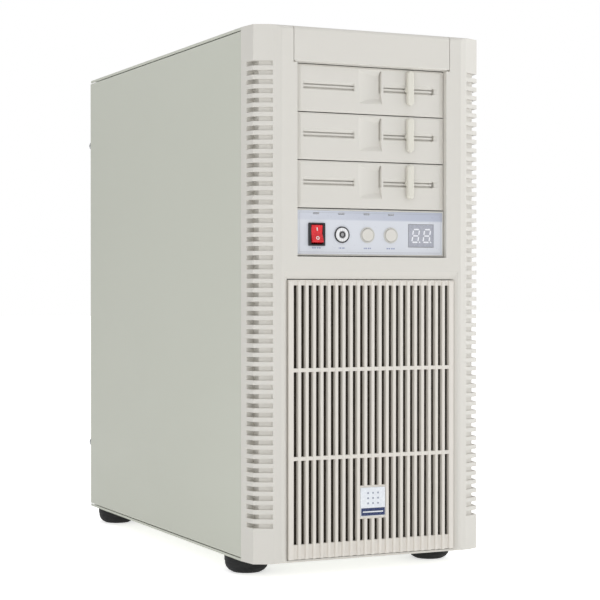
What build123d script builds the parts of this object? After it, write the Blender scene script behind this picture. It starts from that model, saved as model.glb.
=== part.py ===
from build123d import *
import os

# Desktop computer tower, millimetres. The parts are drawn in the tower's own drawing frame:
# x = 0 on the centre plane, y = 0 on the front frame plane (+Y to the rear), z = 0 under the body.
# save() moves every part into the final frame: the middle of the base, on the floor.

# Driving dimensions of the body
WIDTH = 231.5
BODY_HEIGHT = 471.3
BODY_DEPTH = 456.0
FOOT_HEIGHT = 15.5
SIDE_X = WIDTH / 2
SHEET = 1.0
GAP = 0.3
RUNNING = 0.05

# Front bezel
BEZEL_DEPTH = 31.0
FACE_HALF = 89.7
FACET_X = 96.5
FACET_Y = 1.9
CORNER_X = 113.05
CORNER_Y = 10.0
FACE_EDGE_R = 4.0
BEZEL_WALL = 3.0
COLUMN_WALL = 9.5
NOTCH_COUNT = 51
NOTCH_PITCH = 8.08
NOTCH_HEIGHT = 4.2
NOTCH_DEPTH = 2.4
NOTCH_FLANK_X = 107.6
NOTCH_TOP = 439.5
NOTCH_INNER_X = 97.6
NOTCH_REAR_Y = 21.3

# Drive bays: the standard 5.25 inch pitch
BAY_PITCH = 42.4
BAY_COUNT = 4
BAY_TOP = 439.05
BAY_HALF = 75.0
BAY_BOTTOM = BAY_TOP - BAY_COUNT * BAY_PITCH
COVER_FACE = 4.0
COVER_HALF = 74.5
COVER_GAP = 0.45
COVER_REAR = 20.0
COVER_WALL = 3.0

# Features of one bay cover, measured down from the top of its row
GROOVE_TOP = 14.5
GROOVE_HEIGHT = 8.0
GROOVE_LEFT = -67.4
GROOVE_RIGHT = 62.6
RECESS_LEFT = -13.1
RECESS_RIGHT = 9.2
RECESS_TOP = 2.2
RECESS_BOTTOM = 32.8
RECESS_DEPTH = 3.4
SLIT_WIDTH = 0.9
SLIT_DEPTH = 5.0
LEVER_X = 37.9
LEVER_WIDTH = 6.4
LEVER_TOP = 1.7
LEVER_BOTTOM = 32.7
LEVER_FRONT = -1.5
LEVER_REAR = 2.3
SHAFT_R = 2.9

# Top flap and the connectors behind it
FLAP_HALF = 78.1
FLAP_BOTTOM = 439.9
FLAP_WALL = 2.4
FLAP_AXIS_Y = 27.0
FLAP_AXIS_Z = BODY_HEIGHT - 2.0
POCKET_HALF = 78.7
POCKET_FLOOR = 440.5
USB_X = [-50.0, -30.0]
USB_C_X = -12.0
AUDIO_X = [6.0, 20.0]
PORT_Z = 455.0

# Control panel in the fourth bay
PANEL_TOP = BAY_TOP - 3 * BAY_PITCH - COVER_GAP
PANEL_BOTTOM = BAY_BOTTOM + COVER_GAP
CONTROL_Z = 288.7
ROCKER_X = -54.6
LOCK_X = -29.5
RESET_X = -3.9
TURBO_X = 19.7
BUTTON_R = 5.8
COLLAR_R = 7.1
LABEL_MARGIN = 1.4
DISPLAY_X = 51.0
DISPLAY_W = 25.9
DISPLAY_H = 20.4
WINDOW_Z = 307.4
WINDOW_X = [-54.8, -29.8, -4.7, 20.2]
ROCKER_TILT = 10.0
ROCKER_PIVOT_Y = 6.9

# Front grille
GRILLE_HALF = 83.2
GRILLE_OPENING = 84.0
GRILLE_FLOOR = 2.0
GRILLE_CEILING = 249.2
FRAME_SLOPE = 3.6
FRAME_SLOPE_TOP = 6.6
GRILLE_BOTTOM = 2.8
GRILLE_TOP = 248.4
BAR_PITCH = 7.25
BAR_WIDTH = 3.1
BAR_COUNT = 23
GRILLE_FACE = 0.3
GRILLE_BACK = 4.8
BAND_FACE = 1.9
SLOT_BOTTOM = 15.6
SLOT_TOP = 243.6
CROSS_RIBS = [91.2, 169.0]
BLANK_BOTTOM = 34.9
BLANK_TOP = 64.5

# Steel frame
DECK_Z = 458.8
PAN_Z = 9.8
RAIL_X = 109.75
LIP_OUT = 107.75
STEEL_FRONT = 32.0
REAR_Y = BODY_DEPTH
TRAY_X = 97.0
PANEL_BOTTOM_Z = 3.0
PANEL_TOP_Z = 467.8
THUMB_SCREW_Z = [70.0, 400.0]
THUMB_SCREW_IN = 6.5

# Insides
FAN_SIZE = 120.0
FAN_DEPTH = 25.0
FAN_HOLES = 105.0
FAN_WAIST_WALL = 1.5
FRONT_FAN_Z = [72.0, 196.0]
REAR_FAN = (-19.0, 378.0)
CPU_FAN = (12.0, 262.0, 372.0)
BOARD_X = 90.5
BOARD_T = 1.6
BOARD_REAR = 452.0
BOARD_DEPTH = 244.0
BOARD_BOTTOM = 135.0
BOARD_HEIGHT = 305.0
BOARD_FRONT = BOARD_REAR - BOARD_DEPTH
BOARD_FACE = BOARD_X - BOARD_T
STANDOFF_Y = [BOARD_REAR - 34, BOARD_REAR - 165, BOARD_FRONT + 8]
STANDOFF_Z = [BOARD_BOTTOM + 8, BOARD_BOTTOM + 165, BOARD_BOTTOM + 297]
STANDOFF_SPOTS = [(y, z) for y in STANDOFF_Y for z in STANDOFF_Z]
CPU_Y = 340.0
CPU_Z = 372.0
IO_X = (46.5, 91.0)
IO_Z = (277.5, 436.3)
USB_STACK_Z = [416.0, 396.0, 376.0, 356.0]
NETWORK_Z = 332.0
REAR_JACK_Z = [290.0, 304.0, 318.0]
REAR_JACK_X = [66.0, 80.0]
SLOT_PITCH = 20.32
SLOT_COUNT = 7
FIRST_SLOT_Z = 262.0
CARD_SLOT = 1
BRACKET_SCREW_X = -18.5
PSU_X = (-70.0, 80.0)
PSU_Z = (11.0, 97.0)
PSU_Y = (304.0, 454.7)
PSU_FAN = (5.0, 376.0)
PSU_FAN_DEPTH = 20.0
PSU_SCREWS = [(-66.0, 15.0), (76.0, 15.0), (-66.0, 93.0), (76.0, 93.0)]
INLET_X = 56.0
SWITCH_X = 27.0
INLET_Z = 54.0
SCREW_HEAD = 8.0

# Final frame
FOOT_X = 94.6
FOOT_Y = (67.5, 428.0)
REAR_MOST = REAR_Y + GAP + SHEET + SCREW_HEAD
CENTRE_Y = (LEVER_FRONT + REAR_MOST) / 2


def block(x0, x1, y0, y1, z0, z1):
    middle = Pos((x0 + x1) / 2, (y0 + y1) / 2, (z0 + z1) / 2)
    return middle * Box(x1 - x0, y1 - y0, z1 - z0)


def rod_x(y, z, radius, x0, x1):
    return Pos((x0 + x1) / 2, y, z) * Rot(0, 90, 0) * Cylinder(radius, x1 - x0)


def rod_y(x, z, radius, y0, y1):
    return Pos(x, (y0 + y1) / 2, z) * Rot(90, 0, 0) * Cylinder(radius, y1 - y0)


def rod_z(x, y, radius, z0, z1):
    return Pos(x, y, (z0 + z1) / 2) * Cylinder(radius, z1 - z0)


def outline(points):
    return Polygon(*points, align=None)


def draw_x(section, x0, x1):
    """A (y, z) section drawn along X."""
    return extrude(Plane.YZ.offset(x0) * section, amount=x1 - x0, dir=(1, 0, 0))


def prism_x(points, x0, x1):
    """A (y, z) outline drawn along X."""
    return draw_x(outline(points), x0, x1)


def prism_y(points, y0, y1):
    """An (x, z) outline drawn along Y."""
    return extrude(Plane.XZ.offset(-y0) * outline(points), amount=y1 - y0, dir=(0, 1, 0))


def prism_z(points, z0, z1):
    """An (x, y) outline drawn along Z."""
    return extrude(Plane.XY.offset(z0) * outline(points), amount=z1 - z0, dir=(0, 0, 1))


def rounded_block(x0, x1, y0, y1, z0, z1, radius):
    """A box whose edges along Y are rounded."""
    shape = block(x0, x1, y0, y1, z0, z1)
    return fillet(shape.edges().filter_by(Axis.Y), radius)


def round_corners(sketch, radius, corners):
    """Round the sketch corners nearest to the given places."""
    chosen = []
    for x, y in corners:
        place = Vector(x, y, 0)
        chosen.append(min(sketch.vertices(), key=lambda v: (Vector(*v) - place).length))
    return fillet(chosen, radius)


def mirrored(shape):
    return mirror(shape, Plane.YZ)


def both_sides(shape):
    return [shape, mirrored(shape)]


def save(name, *shapes):
    """Write one named sub-part, moved into the final frame."""
    solids = []
    for shape in shapes:
        solids.extend(shape.solids())
    place = Pos(0, -CENTRE_Y, FOOT_HEIGHT)
    group = Compound(children=[place * solid for solid in solids])
    export_step(group, f"parts/{name}.step")


# ---------------------------------------------------------------- front bezel

def bezel_outline(rear):
    """The bezel's plan: a flat face, two slanting columns and two nearly straight flanks."""
    right = [(FACE_HALF, 0), (FACET_X, FACET_Y), (CORNER_X, CORNER_Y), (SIDE_X, BEZEL_DEPTH),
             (SIDE_X, rear)]
    left = [(-x, y) for x, y in reversed(right)]
    sketch = outline(left + right)
    sketch = round_corners(sketch, 5.0, [(-FACE_HALF, 0), (FACE_HALF, 0)])
    return round_corners(sketch, 1.2, [(-CORNER_X, CORNER_Y), (CORNER_X, CORNER_Y)])


def front_edge_cutter(z, up):
    """What rounds the face's top edge (up = 1) or its bottom edge (up = -1)."""
    low = min(z - up * FACE_EDGE_R, z + up)
    high = max(z - up * FACE_EDGE_R, z + up)
    corner = block(-SIDE_X, SIDE_X, -1, FACE_EDGE_R, low, high)
    return corner - rod_x(FACE_EDGE_R, z - up * FACE_EDGE_R, FACE_EDGE_R, -WIDTH, WIDTH)


def column_notches():
    """The row of notches round both outer corners."""
    long_plan = bezel_outline(2 * BEZEL_DEPTH)
    ring = long_plan - offset(long_plan, -NOTCH_DEPTH)
    right = Pos(NOTCH_INNER_X + 15, NOTCH_REAR_Y - 15) * Rectangle(30, 30)
    section = ring & (right + Pos(-2 * NOTCH_INNER_X - 30, 0) * right)
    flank = Pos(NOTCH_FLANK_X + 10, NOTCH_REAR_Y - 8) * Rectangle(20, 16)
    section = section + (long_plan & (flank + Pos(-2 * NOTCH_FLANK_X - 20, 0) * flank))
    notches = []
    for index in range(NOTCH_COUNT):
        bottom = NOTCH_TOP - NOTCH_HEIGHT - index * NOTCH_PITCH
        notches.append(extrude(Pos(0, 0, bottom) * section, amount=NOTCH_HEIGHT))
    return notches


def grille_chamfer():
    """The sloped frame round the grille opening."""
    low = GRILLE_FLOOR - FACE_EDGE_R - 1
    top = GRILLE_CEILING + FRAME_SLOPE_TOP
    outer = Pos(0, (low + top) / 2) * Rectangle(2 * (GRILLE_OPENING + FRAME_SLOPE), top - low)
    inner = Pos(0, (low + GRILLE_CEILING) / 2) * Rectangle(2 * GRILLE_OPENING, GRILLE_CEILING - low)
    outer_face = Plane.XZ.offset(0.01) * outer
    inner_face = Plane.XZ.offset(-3.0) * inner
    return loft([outer_face.face(), inner_face.face()])


def front_bezel():
    plan = bezel_outline(BEZEL_DEPTH)
    body = extrude(plan, amount=BODY_HEIGHT)
    cavity = offset(bezel_outline(2 * BEZEL_DEPTH), -COLUMN_WALL)
    window = Pos(POCKET_HALF + BEZEL_WALL + 20, 40) * Rectangle(40, 80)
    columns = cavity & (window + Pos(-2 * (POCKET_HALF + BEZEL_WALL + 20), 0) * window)
    hollow = extrude(Pos(0, 0, BEZEL_WALL) * columns, amount=BODY_HEIGHT - 2 * BEZEL_WALL)
    below = block(-GRILLE_OPENING, GRILLE_OPENING, -1, BEZEL_DEPTH + 1, GRILLE_FLOOR, GRILLE_CEILING)
    bays = block(-BAY_HALF, BAY_HALF, -1, BEZEL_DEPTH + 1, BAY_BOTTOM - 0.5, BAY_TOP + GAP)
    rail = block(-BAY_HALF, BAY_HALF, BEZEL_WALL, BEZEL_DEPTH + 1,
                 GRILLE_CEILING + BEZEL_WALL, BAY_BOTTOM - 3.5)
    pocket = block(-POCKET_HALF, POCKET_HALF, -1, FLAP_AXIS_Y + 2.4, POCKET_FLOOR, BODY_HEIGHT + 1)
    sill = block(-POCKET_HALF, POCKET_HALF, -1, FLAP_WALL + GAP, BAY_TOP, POCKET_FLOOR + 1)
    pins = rod_x(FLAP_AXIS_Y, FLAP_AXIS_Z, 1.2 + RUNNING, -POCKET_HALF - 2, POCKET_HALF + 2)
    corners = [front_edge_cutter(BODY_HEIGHT, 1), front_edge_cutter(0, -1)]
    body = body - [hollow, below, bays, rail, pocket, sill, pins, grille_chamfer()] - corners
    return body - column_notches()


def bar_section(left, right):
    """A grille bar in plan, with its two front edges rounded."""
    points = [(left, GRILLE_FACE), (right, GRILLE_FACE), (right, GRILLE_BACK), (left, GRILLE_BACK)]
    return round_corners(outline(points), 0.9, [(left, GRILLE_FACE), (right, GRILLE_FACE)])


def front_grille():
    height = GRILLE_TOP - GRILLE_BOTTOM
    bars = []
    for index in range(1, BAR_COUNT - 1):
        middle = (index - (BAR_COUNT - 1) / 2) * BAR_PITCH
        section = bar_section(middle - BAR_WIDTH / 2, middle + BAR_WIDTH / 2)
        bars.append(extrude(Pos(0, 0, GRILLE_BOTTOM) * section, amount=height))
    edge = (BAR_COUNT - 1) / 2 * BAR_PITCH - BAR_WIDTH / 2
    end = extrude(Pos(0, 0, GRILLE_BOTTOM) * bar_section(edge, GRILLE_HALF), amount=height)
    bars.extend(both_sides(end))
    bands = [block(-GRILLE_HALF + 1, GRILLE_HALF - 1, BAND_FACE, GRILLE_BACK, GRILLE_BOTTOM, SLOT_BOTTOM)]
    bands.append(block(-GRILLE_HALF + 1, GRILLE_HALF - 1, BAND_FACE, GRILLE_BACK, SLOT_TOP, GRILLE_TOP))
    for rib in CROSS_RIBS:
        bands.append(block(-edge - 1, edge + 1, 0.8, GRILLE_BACK, rib - 1.65, rib + 1.65))
    blank_half = 2 * BAR_PITCH - BAR_WIDTH / 2 + 0.5
    bands.append(block(-blank_half, blank_half, BAND_FACE, GRILLE_BACK, BLANK_BOTTOM, BLANK_TOP))
    grille = bars[0] + bars[1:] + bands
    pocket = block(-12.65, 12.65, -1, BAND_FACE, BLANK_BOTTOM, BLANK_TOP)
    nose = prism_x([(-0.5, GRILLE_TOP + 0.1), (-0.5, GRILLE_TOP - 1.6), (GRILLE_FACE, GRILLE_TOP - 1.6),
                    (BAND_FACE, GRILLE_TOP + 0.1)], -GRILLE_HALF - 1, GRILLE_HALF + 1)
    return grille - [pocket, nose]


def badge():
    """A plain square plate with a lower band and a grid of small studs."""
    plate = block(-12.5, 12.5, 0.9, BAND_FACE, 37.0, 62.8)
    plate = chamfer(plate.edges().group_by(Axis.Y)[0], 0.25)
    studs = []
    for column in range(3):
        for row in range(3):
            studs.append(rod_y(-5 + 5 * column, 48.6 + 4.6 * row, 0.9, 0.65, 1.2))
    return plate + studs


def badge_band():
    return block(-11.9, 11.9, 0.7, 0.9, 37.6, 44.4) - block(-10.2, 10.2, 0.6, 0.8, 40.4, 41.5)


def dust_filter():
    frame = block(-81.5, 81.5, 8.0, 10.5, 5.0, 247.0) - block(-77.5, 77.5, 7, 11.5, 9.0, 243.0)
    mesh = block(-78.0, 78.0, 8.9, 9.6, 8.5, 243.5)
    ribs = [block(-78, 78, 8.0, 10.5, z - 1, z + 1) for z in CROSS_RIBS]
    return frame + mesh + ribs


# ------------------------------------------------------------- top flap, ports

def top_flap():
    points = [(0, FLAP_BOTTOM), (0, BODY_HEIGHT), (FLAP_AXIS_Y, BODY_HEIGHT),
              (FLAP_AXIS_Y, BODY_HEIGHT - FLAP_WALL), (FLAP_WALL, BODY_HEIGHT - FLAP_WALL),
              (FLAP_WALL, FLAP_BOTTOM)]
    section = round_corners(outline(points), FACE_EDGE_R, [(0, BODY_HEIGHT)])
    section = round_corners(section, 1.7, [(FLAP_WALL, BODY_HEIGHT - FLAP_WALL), (0, FLAP_BOTTOM)])
    lid = draw_x(section, -FLAP_HALF, FLAP_HALF)
    bead = rod_x(FLAP_AXIS_Y, FLAP_AXIS_Z, 2.0, -FLAP_HALF, FLAP_HALF)
    pins = rod_x(FLAP_AXIS_Y, FLAP_AXIS_Z, 1.2, -POCKET_HALF - 1.8, POCKET_HALF + 1.8)
    corner = prism_y([(FLAP_HALF + 1, FLAP_BOTTOM - 1), (FLAP_HALF + 1, FLAP_BOTTOM + 1.4),
                      (FLAP_HALF, FLAP_BOTTOM + 1.4), (FLAP_HALF - 1.6, FLAP_BOTTOM - 0.01),
                      (FLAP_HALF - 1.6, FLAP_BOTTOM - 1)], -1, FLAP_WALL + 1)
    return lid + bead + pins - both_sides(corner)


def front_io_bracket():
    """The plate behind the flap that holds the front connectors."""
    plate = block(-77.8, 77.8, 15.0, 17.0, 441.0, 467.0)
    floor = block(-77.8, 77.8, 17.0, 29.0, 441.0, 442.5)
    holes = [block(x - 6.8, x + 6.8, 14, 18, PORT_Z - 3.1, PORT_Z + 3.1) for x in USB_X]
    holes.append(block(USB_C_X - 4.8, USB_C_X + 4.8, 14, 18, PORT_Z - 2.0, PORT_Z + 2.0))
    holes.extend([rod_y(x, PORT_Z, 3.3, 14, 18) for x in AUDIO_X])
    return plate + floor - holes


def usb_port(x):
    shell = block(x - 6.55, x + 6.55, 14.2, 28.9, PORT_Z - 2.85, PORT_Z + 2.85)
    shell = shell - block(x - 6.2, x + 6.2, 14.0, 27.9, PORT_Z - 2.5, PORT_Z + 2.5)
    return shell + block(x - 5.2, x + 5.2, 15.2, 28.0, PORT_Z + 0.3, PORT_Z + 2.0)


def usb_c_port(x):
    shell = rounded_block(x - 4.6, x + 4.6, 14.2, 26.0, PORT_Z - 1.75, PORT_Z + 1.75, 1.7)
    shell = shell - rounded_block(x - 4.25, x + 4.25, 14.0, 24.5, PORT_Z - 1.4, PORT_Z + 1.4, 1.35)
    return shell + block(x - 3.3, x + 3.3, 15.4, 24.6, PORT_Z - 0.35, PORT_Z + 0.35)


def audio_jack(x):
    barrel = rod_y(x, PORT_Z, 3.2, 14.2, 28.0)
    return barrel - rod_y(x, PORT_Z, 1.8, 14.0, 27.0)


def front_io_ports():
    shapes = [usb_port(x) for x in USB_X]
    shapes.append(usb_c_port(USB_C_X))
    shapes.extend([audio_jack(x) for x in AUDIO_X])
    return shapes


# ------------------------------------------------------------------ bay covers

def groove(row_top, left, right):
    """The stepped slot across a cover's face: a slope, a slit, a ledge and a second slit."""
    top = row_top - GROOVE_TOP
    bottom = top - GROOVE_HEIGHT
    ledge = COVER_FACE + 1.3
    points = [(COVER_FACE - 2, top), (COVER_FACE, top), (ledge, top - 2.7), (ledge + 2.6, top - 2.7),
              (ledge + 2.6, top - 3.9), (ledge, top - 3.9), (ledge, top - 5.6),
              (ledge + 2.0, top - 5.6), (ledge + 2.0, bottom + 0.9), (COVER_FACE + 0.9, bottom + 0.9),
              (COVER_FACE, bottom), (COVER_FACE - 2, bottom)]
    return prism_x(points, left, right)


def groove_end(row_top):
    """The small pit that ends the groove, and the flare beside it."""
    top = row_top - GROOVE_TOP - 2.0
    bottom = row_top - GROOVE_TOP - GROOVE_HEIGHT + 1.0
    pit = block(GROOVE_RIGHT - 0.1, GROOVE_RIGHT + 2.0, COVER_FACE - 1, COVER_FACE + 5, bottom, top)
    slope = [(GROOVE_RIGHT + 1.9, COVER_FACE + 1.5), (GROOVE_RIGHT + 5.2, COVER_FACE),
             (GROOVE_RIGHT + 5.2, COVER_FACE - 1), (GROOVE_RIGHT + 1.9, COVER_FACE - 1)]
    return [pit, prism_z(slope, bottom, top)]


def finger_recess(row_top):
    """A shallow scoop: hollowed towards its right edge, sloping at its top and bottom."""
    top = row_top - RECESS_TOP
    bottom = row_top - RECESS_BOTTOM
    mouth = prism_y([(RECESS_LEFT, top), (RECESS_LEFT, row_top - 20), (RECESS_LEFT + 1.4, bottom),
                     (RECESS_RIGHT + 1.6, bottom), (RECESS_RIGHT, row_top - 20), (RECESS_RIGHT, top)],
                    COVER_FACE - 1, COVER_FACE + 10)
    back = COVER_FACE + RECESS_DEPTH + 0.6
    run = prism_x([(COVER_FACE - 1, top + 1.5), (back, top - 6.0), (back, bottom + 5.6),
                   (COVER_FACE, bottom), (COVER_FACE - 1, bottom)], RECESS_LEFT - 1, RECESS_RIGHT + 2)
    reach = RECESS_RIGHT - 3.0 - RECESS_LEFT
    radius = (reach ** 2 + RECESS_DEPTH ** 2) / (2 * RECESS_DEPTH)
    bowl = rod_z(RECESS_RIGHT - 3.0, COVER_FACE + RECESS_DEPTH - radius, radius, bottom - 1, top + 2)
    return mouth & run & bowl


def recess_slit(row_top):
    """The narrow slit along the scoop's right edge."""
    top = row_top - RECESS_TOP
    low = row_top - GROOVE_TOP - GROOVE_HEIGHT
    return block(RECESS_RIGHT - 0.2, RECESS_RIGHT + SLIT_WIDTH, COVER_FACE - 1,
                 COVER_FACE + SLIT_DEPTH, low, top - 1)


def side_bevel(row_top):
    """What slopes the cover's two end strips back."""
    points = [(COVER_HALF - 4.6, COVER_FACE), (COVER_HALF + 1, COVER_FACE + 1.7),
              (COVER_HALF + 1, COVER_FACE - 1), (COVER_HALF - 4.6, COVER_FACE - 1)]
    return prism_z(points, row_top - BAY_PITCH, row_top)


def edge_bevel(z, up):
    """What bevels the cover's top edge (up = 1) or bottom edge (up = -1)."""
    points = [(COVER_FACE - 1, z - up * 2.5), (COVER_FACE, z - up * 1.6),
              (COVER_FACE + 0.8, z), (COVER_FACE + 0.8, z + up), (COVER_FACE - 1, z + up)]
    return prism_x(points, -COVER_HALF - 1, COVER_HALF + 1)


def cover_shell(top, bottom):
    shell = block(-COVER_HALF, COVER_HALF, COVER_FACE, COVER_REAR, bottom, top)
    inside = block(-COVER_HALF + 2, COVER_HALF - 2, COVER_FACE + COVER_WALL, COVER_REAR + 1,
                   bottom + 2, top - 2)
    middle = (top + bottom) / 2
    arm = block(COVER_HALF - 2, COVER_HALF, COVER_REAR, COVER_REAR + 16, middle - 7, middle + 7)
    return (shell - inside) + both_sides(arm)


def lever_z(row_top):
    return row_top - GROOVE_TOP - GROOVE_HEIGHT / 2


def bay_cover(row_top):
    top = row_top - COVER_GAP
    bottom = row_top - BAY_PITCH + COVER_GAP
    pivot_z = lever_z(row_top)
    groove_back = block(-COVER_HALF + 1, COVER_HALF - 1, COVER_FACE + 2, 12.0,
                        row_top - GROOVE_TOP - GROOVE_HEIGHT - 1.5, row_top - GROOVE_TOP + 1.5)
    bowl = block(RECESS_LEFT - 2, RECESS_RIGHT + 3.5, COVER_FACE + 2, 12.0,
                 row_top - RECESS_BOTTOM - 1.8, row_top - RECESS_TOP + 1.6)
    pad = rod_y(LEVER_X, pivot_z, 6.5, COVER_FACE + 2, 12.0)
    shell = cover_shell(top, bottom) + [groove_back, bowl, pad]
    cuts = [groove(row_top, GROOVE_LEFT, RECESS_LEFT - 4.0)]
    cuts.append(groove(row_top, RECESS_RIGHT + 3.0, GROOVE_RIGHT))
    cuts.extend(groove_end(row_top))
    cuts.extend(both_sides(side_bevel(row_top)))
    cuts.extend([edge_bevel(top, 1), edge_bevel(bottom, -1)])
    cuts.extend([finger_recess(row_top), recess_slit(row_top)])
    cuts.append(rod_y(LEVER_X, pivot_z, SHAFT_R + RUNNING, 0, 15))
    return shell - cuts


def latch_lever(row_top):
    """The turning lever, its shaft and the cam behind the cover."""
    pivot_z = lever_z(row_top)
    half = LEVER_WIDTH / 2
    top = row_top - LEVER_TOP
    bottom = row_top - LEVER_BOTTOM
    handle = block(LEVER_X - half, LEVER_X + half, LEVER_FRONT, LEVER_REAR, bottom + half, top - half)
    ends = [rod_y(LEVER_X, z, half, LEVER_FRONT, LEVER_REAR) for z in (bottom + half, top - half)]
    handle = handle + ends
    handle = fillet(handle.edges().group_by(Axis.Y)[0], 1.5)
    hub = rod_y(LEVER_X, pivot_z, 3.7, LEVER_REAR - 0.5, COVER_FACE - GAP)
    shaft = rod_y(LEVER_X, pivot_z, SHAFT_R, LEVER_REAR, 14.5)
    cam = block(LEVER_X - 4, LEVER_X + 14, 12.4, 14.5, pivot_z - 4, pivot_z + 4)
    return handle + [hub, shaft, cam]


# --------------------------------------------------------------- control panel

def button_collar(x):
    """The ring round a push button."""
    ring = rod_y(x, CONTROL_Z, COLLAR_R, COVER_FACE - 0.2, COVER_REAR - 6)
    ring = ring - rod_y(x, CONTROL_Z, BUTTON_R + GAP, 0, COVER_REAR)
    return ring


def control_panel_plate():
    shell = block(-COVER_HALF, COVER_HALF, COVER_FACE, COVER_REAR, PANEL_BOTTOM, PANEL_TOP)
    inside = block(-COVER_HALF + 2, COVER_HALF - 2, COVER_FACE + COVER_WALL, COVER_REAR + 1,
                   PANEL_BOTTOM + 2, PANEL_TOP - 2)
    middle = (PANEL_TOP + PANEL_BOTTOM) / 2
    arm = block(COVER_HALF - 2, COVER_HALF, COVER_REAR, COVER_REAR + 16, middle - 7, middle + 7)
    label_bed = block(-COVER_HALF + LABEL_MARGIN, COVER_HALF - LABEL_MARGIN, 0, COVER_FACE + 0.7,
                      PANEL_BOTTOM + LABEL_MARGIN, PANEL_TOP - LABEL_MARGIN)
    posts = [rod_y(x, middle, 3.0, COVER_FACE + 1, COVER_REAR) for x in (-70.0, 34.5, 70.0)]
    plate = (shell - inside) + both_sides(arm) + posts
    rim = plate.edges().filter_by(GeomType.LINE).group_by(Axis.Y)[0]
    plate = chamfer(rim, 0.5)
    plate = plate - [label_bed] - panel_holes(0.2)
    return plate + [button_collar(x) for x in (RESET_X, TURBO_X)]


def panel_holes(extra):
    """Every hole through the control panel, widened by extra."""
    y0 = 0
    y1 = COVER_FACE + COVER_WALL + 1
    rocker = block(ROCKER_X - 6.9 - extra, ROCKER_X + 6.9 + extra, y0, y1, CONTROL_Z - 9.4 - extra,
                   CONTROL_Z + 9.4 + extra)
    display = block(DISPLAY_X - DISPLAY_W / 2 - extra, DISPLAY_X + DISPLAY_W / 2 + extra, y0, y1,
                    CONTROL_Z - DISPLAY_H / 2 - extra, CONTROL_Z + DISPLAY_H / 2 + extra)
    holes = [rocker, display, rod_y(LOCK_X, CONTROL_Z, 5.8 + extra, y0, y1)]
    for x in (RESET_X, TURBO_X):
        holes.append(rod_y(x, CONTROL_Z, COLLAR_R - 0.3 + extra, y0, y1))
    for x in WINDOW_X:
        holes.append(block(x - 2.5 - extra, x + 2.5 + extra, y0, y1, WINDOW_Z - 0.5 - extra,
                           WINDOW_Z + 0.5 + extra))
    return holes


def control_label():
    """The printed film that lies in the panel's shallow bed."""
    inset = LABEL_MARGIN + 0.1
    film = block(-COVER_HALF + inset, COVER_HALF - inset, COVER_FACE + 0.4, COVER_FACE + 0.7,
                 PANEL_BOTTOM + inset, PANEL_TOP - inset)
    return film - panel_holes(0.4)


def push_button(x, travel):
    """A domed cap on a stem, free to travel towards the board."""
    face = COVER_FACE - 0.6 - travel / 4
    cap = rod_y(x, CONTROL_Z, BUTTON_R, face, COVER_FACE + 6)
    cap = fillet(cap.edges().group_by(Axis.Y)[0], 0.9)
    stem = rod_y(x, CONTROL_Z, 2.0, COVER_FACE + 5, COVER_REAR - 4.0 - travel - GAP)
    return cap + stem


def rocker_frame():
    """The switch housing: a flange, a box body and two blade terminals."""
    flange = rounded_block(ROCKER_X - 8.0, ROCKER_X + 8.0, COVER_FACE - 1.2, COVER_FACE + 0.4,
                           CONTROL_Z - 10.15, CONTROL_Z + 10.15, 0.8)
    body = block(ROCKER_X - 6.8, ROCKER_X + 6.8, COVER_FACE + 0.3, 17.0, CONTROL_Z - 9.3, CONTROL_Z + 9.3)
    well = block(ROCKER_X - 5.7, ROCKER_X + 5.7, 0, 15.6, CONTROL_Z - 8.9, CONTROL_Z + 8.9)
    pivots = rod_x(ROCKER_PIVOT_Y, CONTROL_Z, 1.0, ROCKER_X - 6.5, ROCKER_X + 6.5)
    blades = [block(ROCKER_X - 2.4, ROCKER_X + 2.4, 17.0, 25.0, CONTROL_Z + dz - 0.4, CONTROL_Z + dz + 0.4)
              for dz in (-5, 5)]
    return (flange + body) - well + [pivots] + blades


def rocker_switch():
    """The rocker: concave front, turned to its upper stop."""
    half = 7.9
    front = COVER_FACE - 2.6 - ROCKER_PIVOT_Y
    points = [(front, -half), (front + 2.0, 0), (front, half), (1.0, half), (4.6, 3.0), (4.6, -3.0),
              (1.0, -half)]
    section = outline(points)
    section = round_corners(section, 1.1, [(front, -half), (front, half)])
    body = draw_x(section, -5.4, 5.4)
    body = body - rod_x(0, 0, 1.0 + RUNNING, -7, 7)
    bar = block(-0.35, 0.35, front + 0.6, front + 1.6, 2.4, 5.2)
    ring = rod_y(0, -4.2, 1.5, front + 0.55, front + 1.6) - rod_y(0, -4.2, 1.0, front - 1, front + 3)
    body = body + [bar, ring]
    return Pos(ROCKER_X, ROCKER_PIVOT_Y, CONTROL_Z) * Rot(-ROCKER_TILT, 0, 0) * body


def lock_ring():
    ring = rod_y(LOCK_X, CONTROL_Z, 7.3, COVER_FACE - 0.5, COVER_FACE + 0.4)
    return ring - rod_y(LOCK_X, CONTROL_Z, 6.3, 0, 20)


def lock_body():
    """The lock's barrel and its bright face."""
    face = rod_y(LOCK_X, CONTROL_Z, 6.2, COVER_FACE - 1.0, COVER_FACE + 0.4)
    face = chamfer(face.edges().group_by(Axis.Y)[0], 0.5)
    barrel = rod_y(LOCK_X, CONTROL_Z, 5.7, COVER_FACE + 0.3, 18.0)
    nut = rod_y(LOCK_X, CONTROL_Z, 7.6, COVER_FACE + COVER_WALL, COVER_FACE + COVER_WALL + 2.5)
    bore = rod_y(LOCK_X, CONTROL_Z, 3.4 + RUNNING, 0, 30)
    return face + [barrel, nut] - bore


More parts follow.
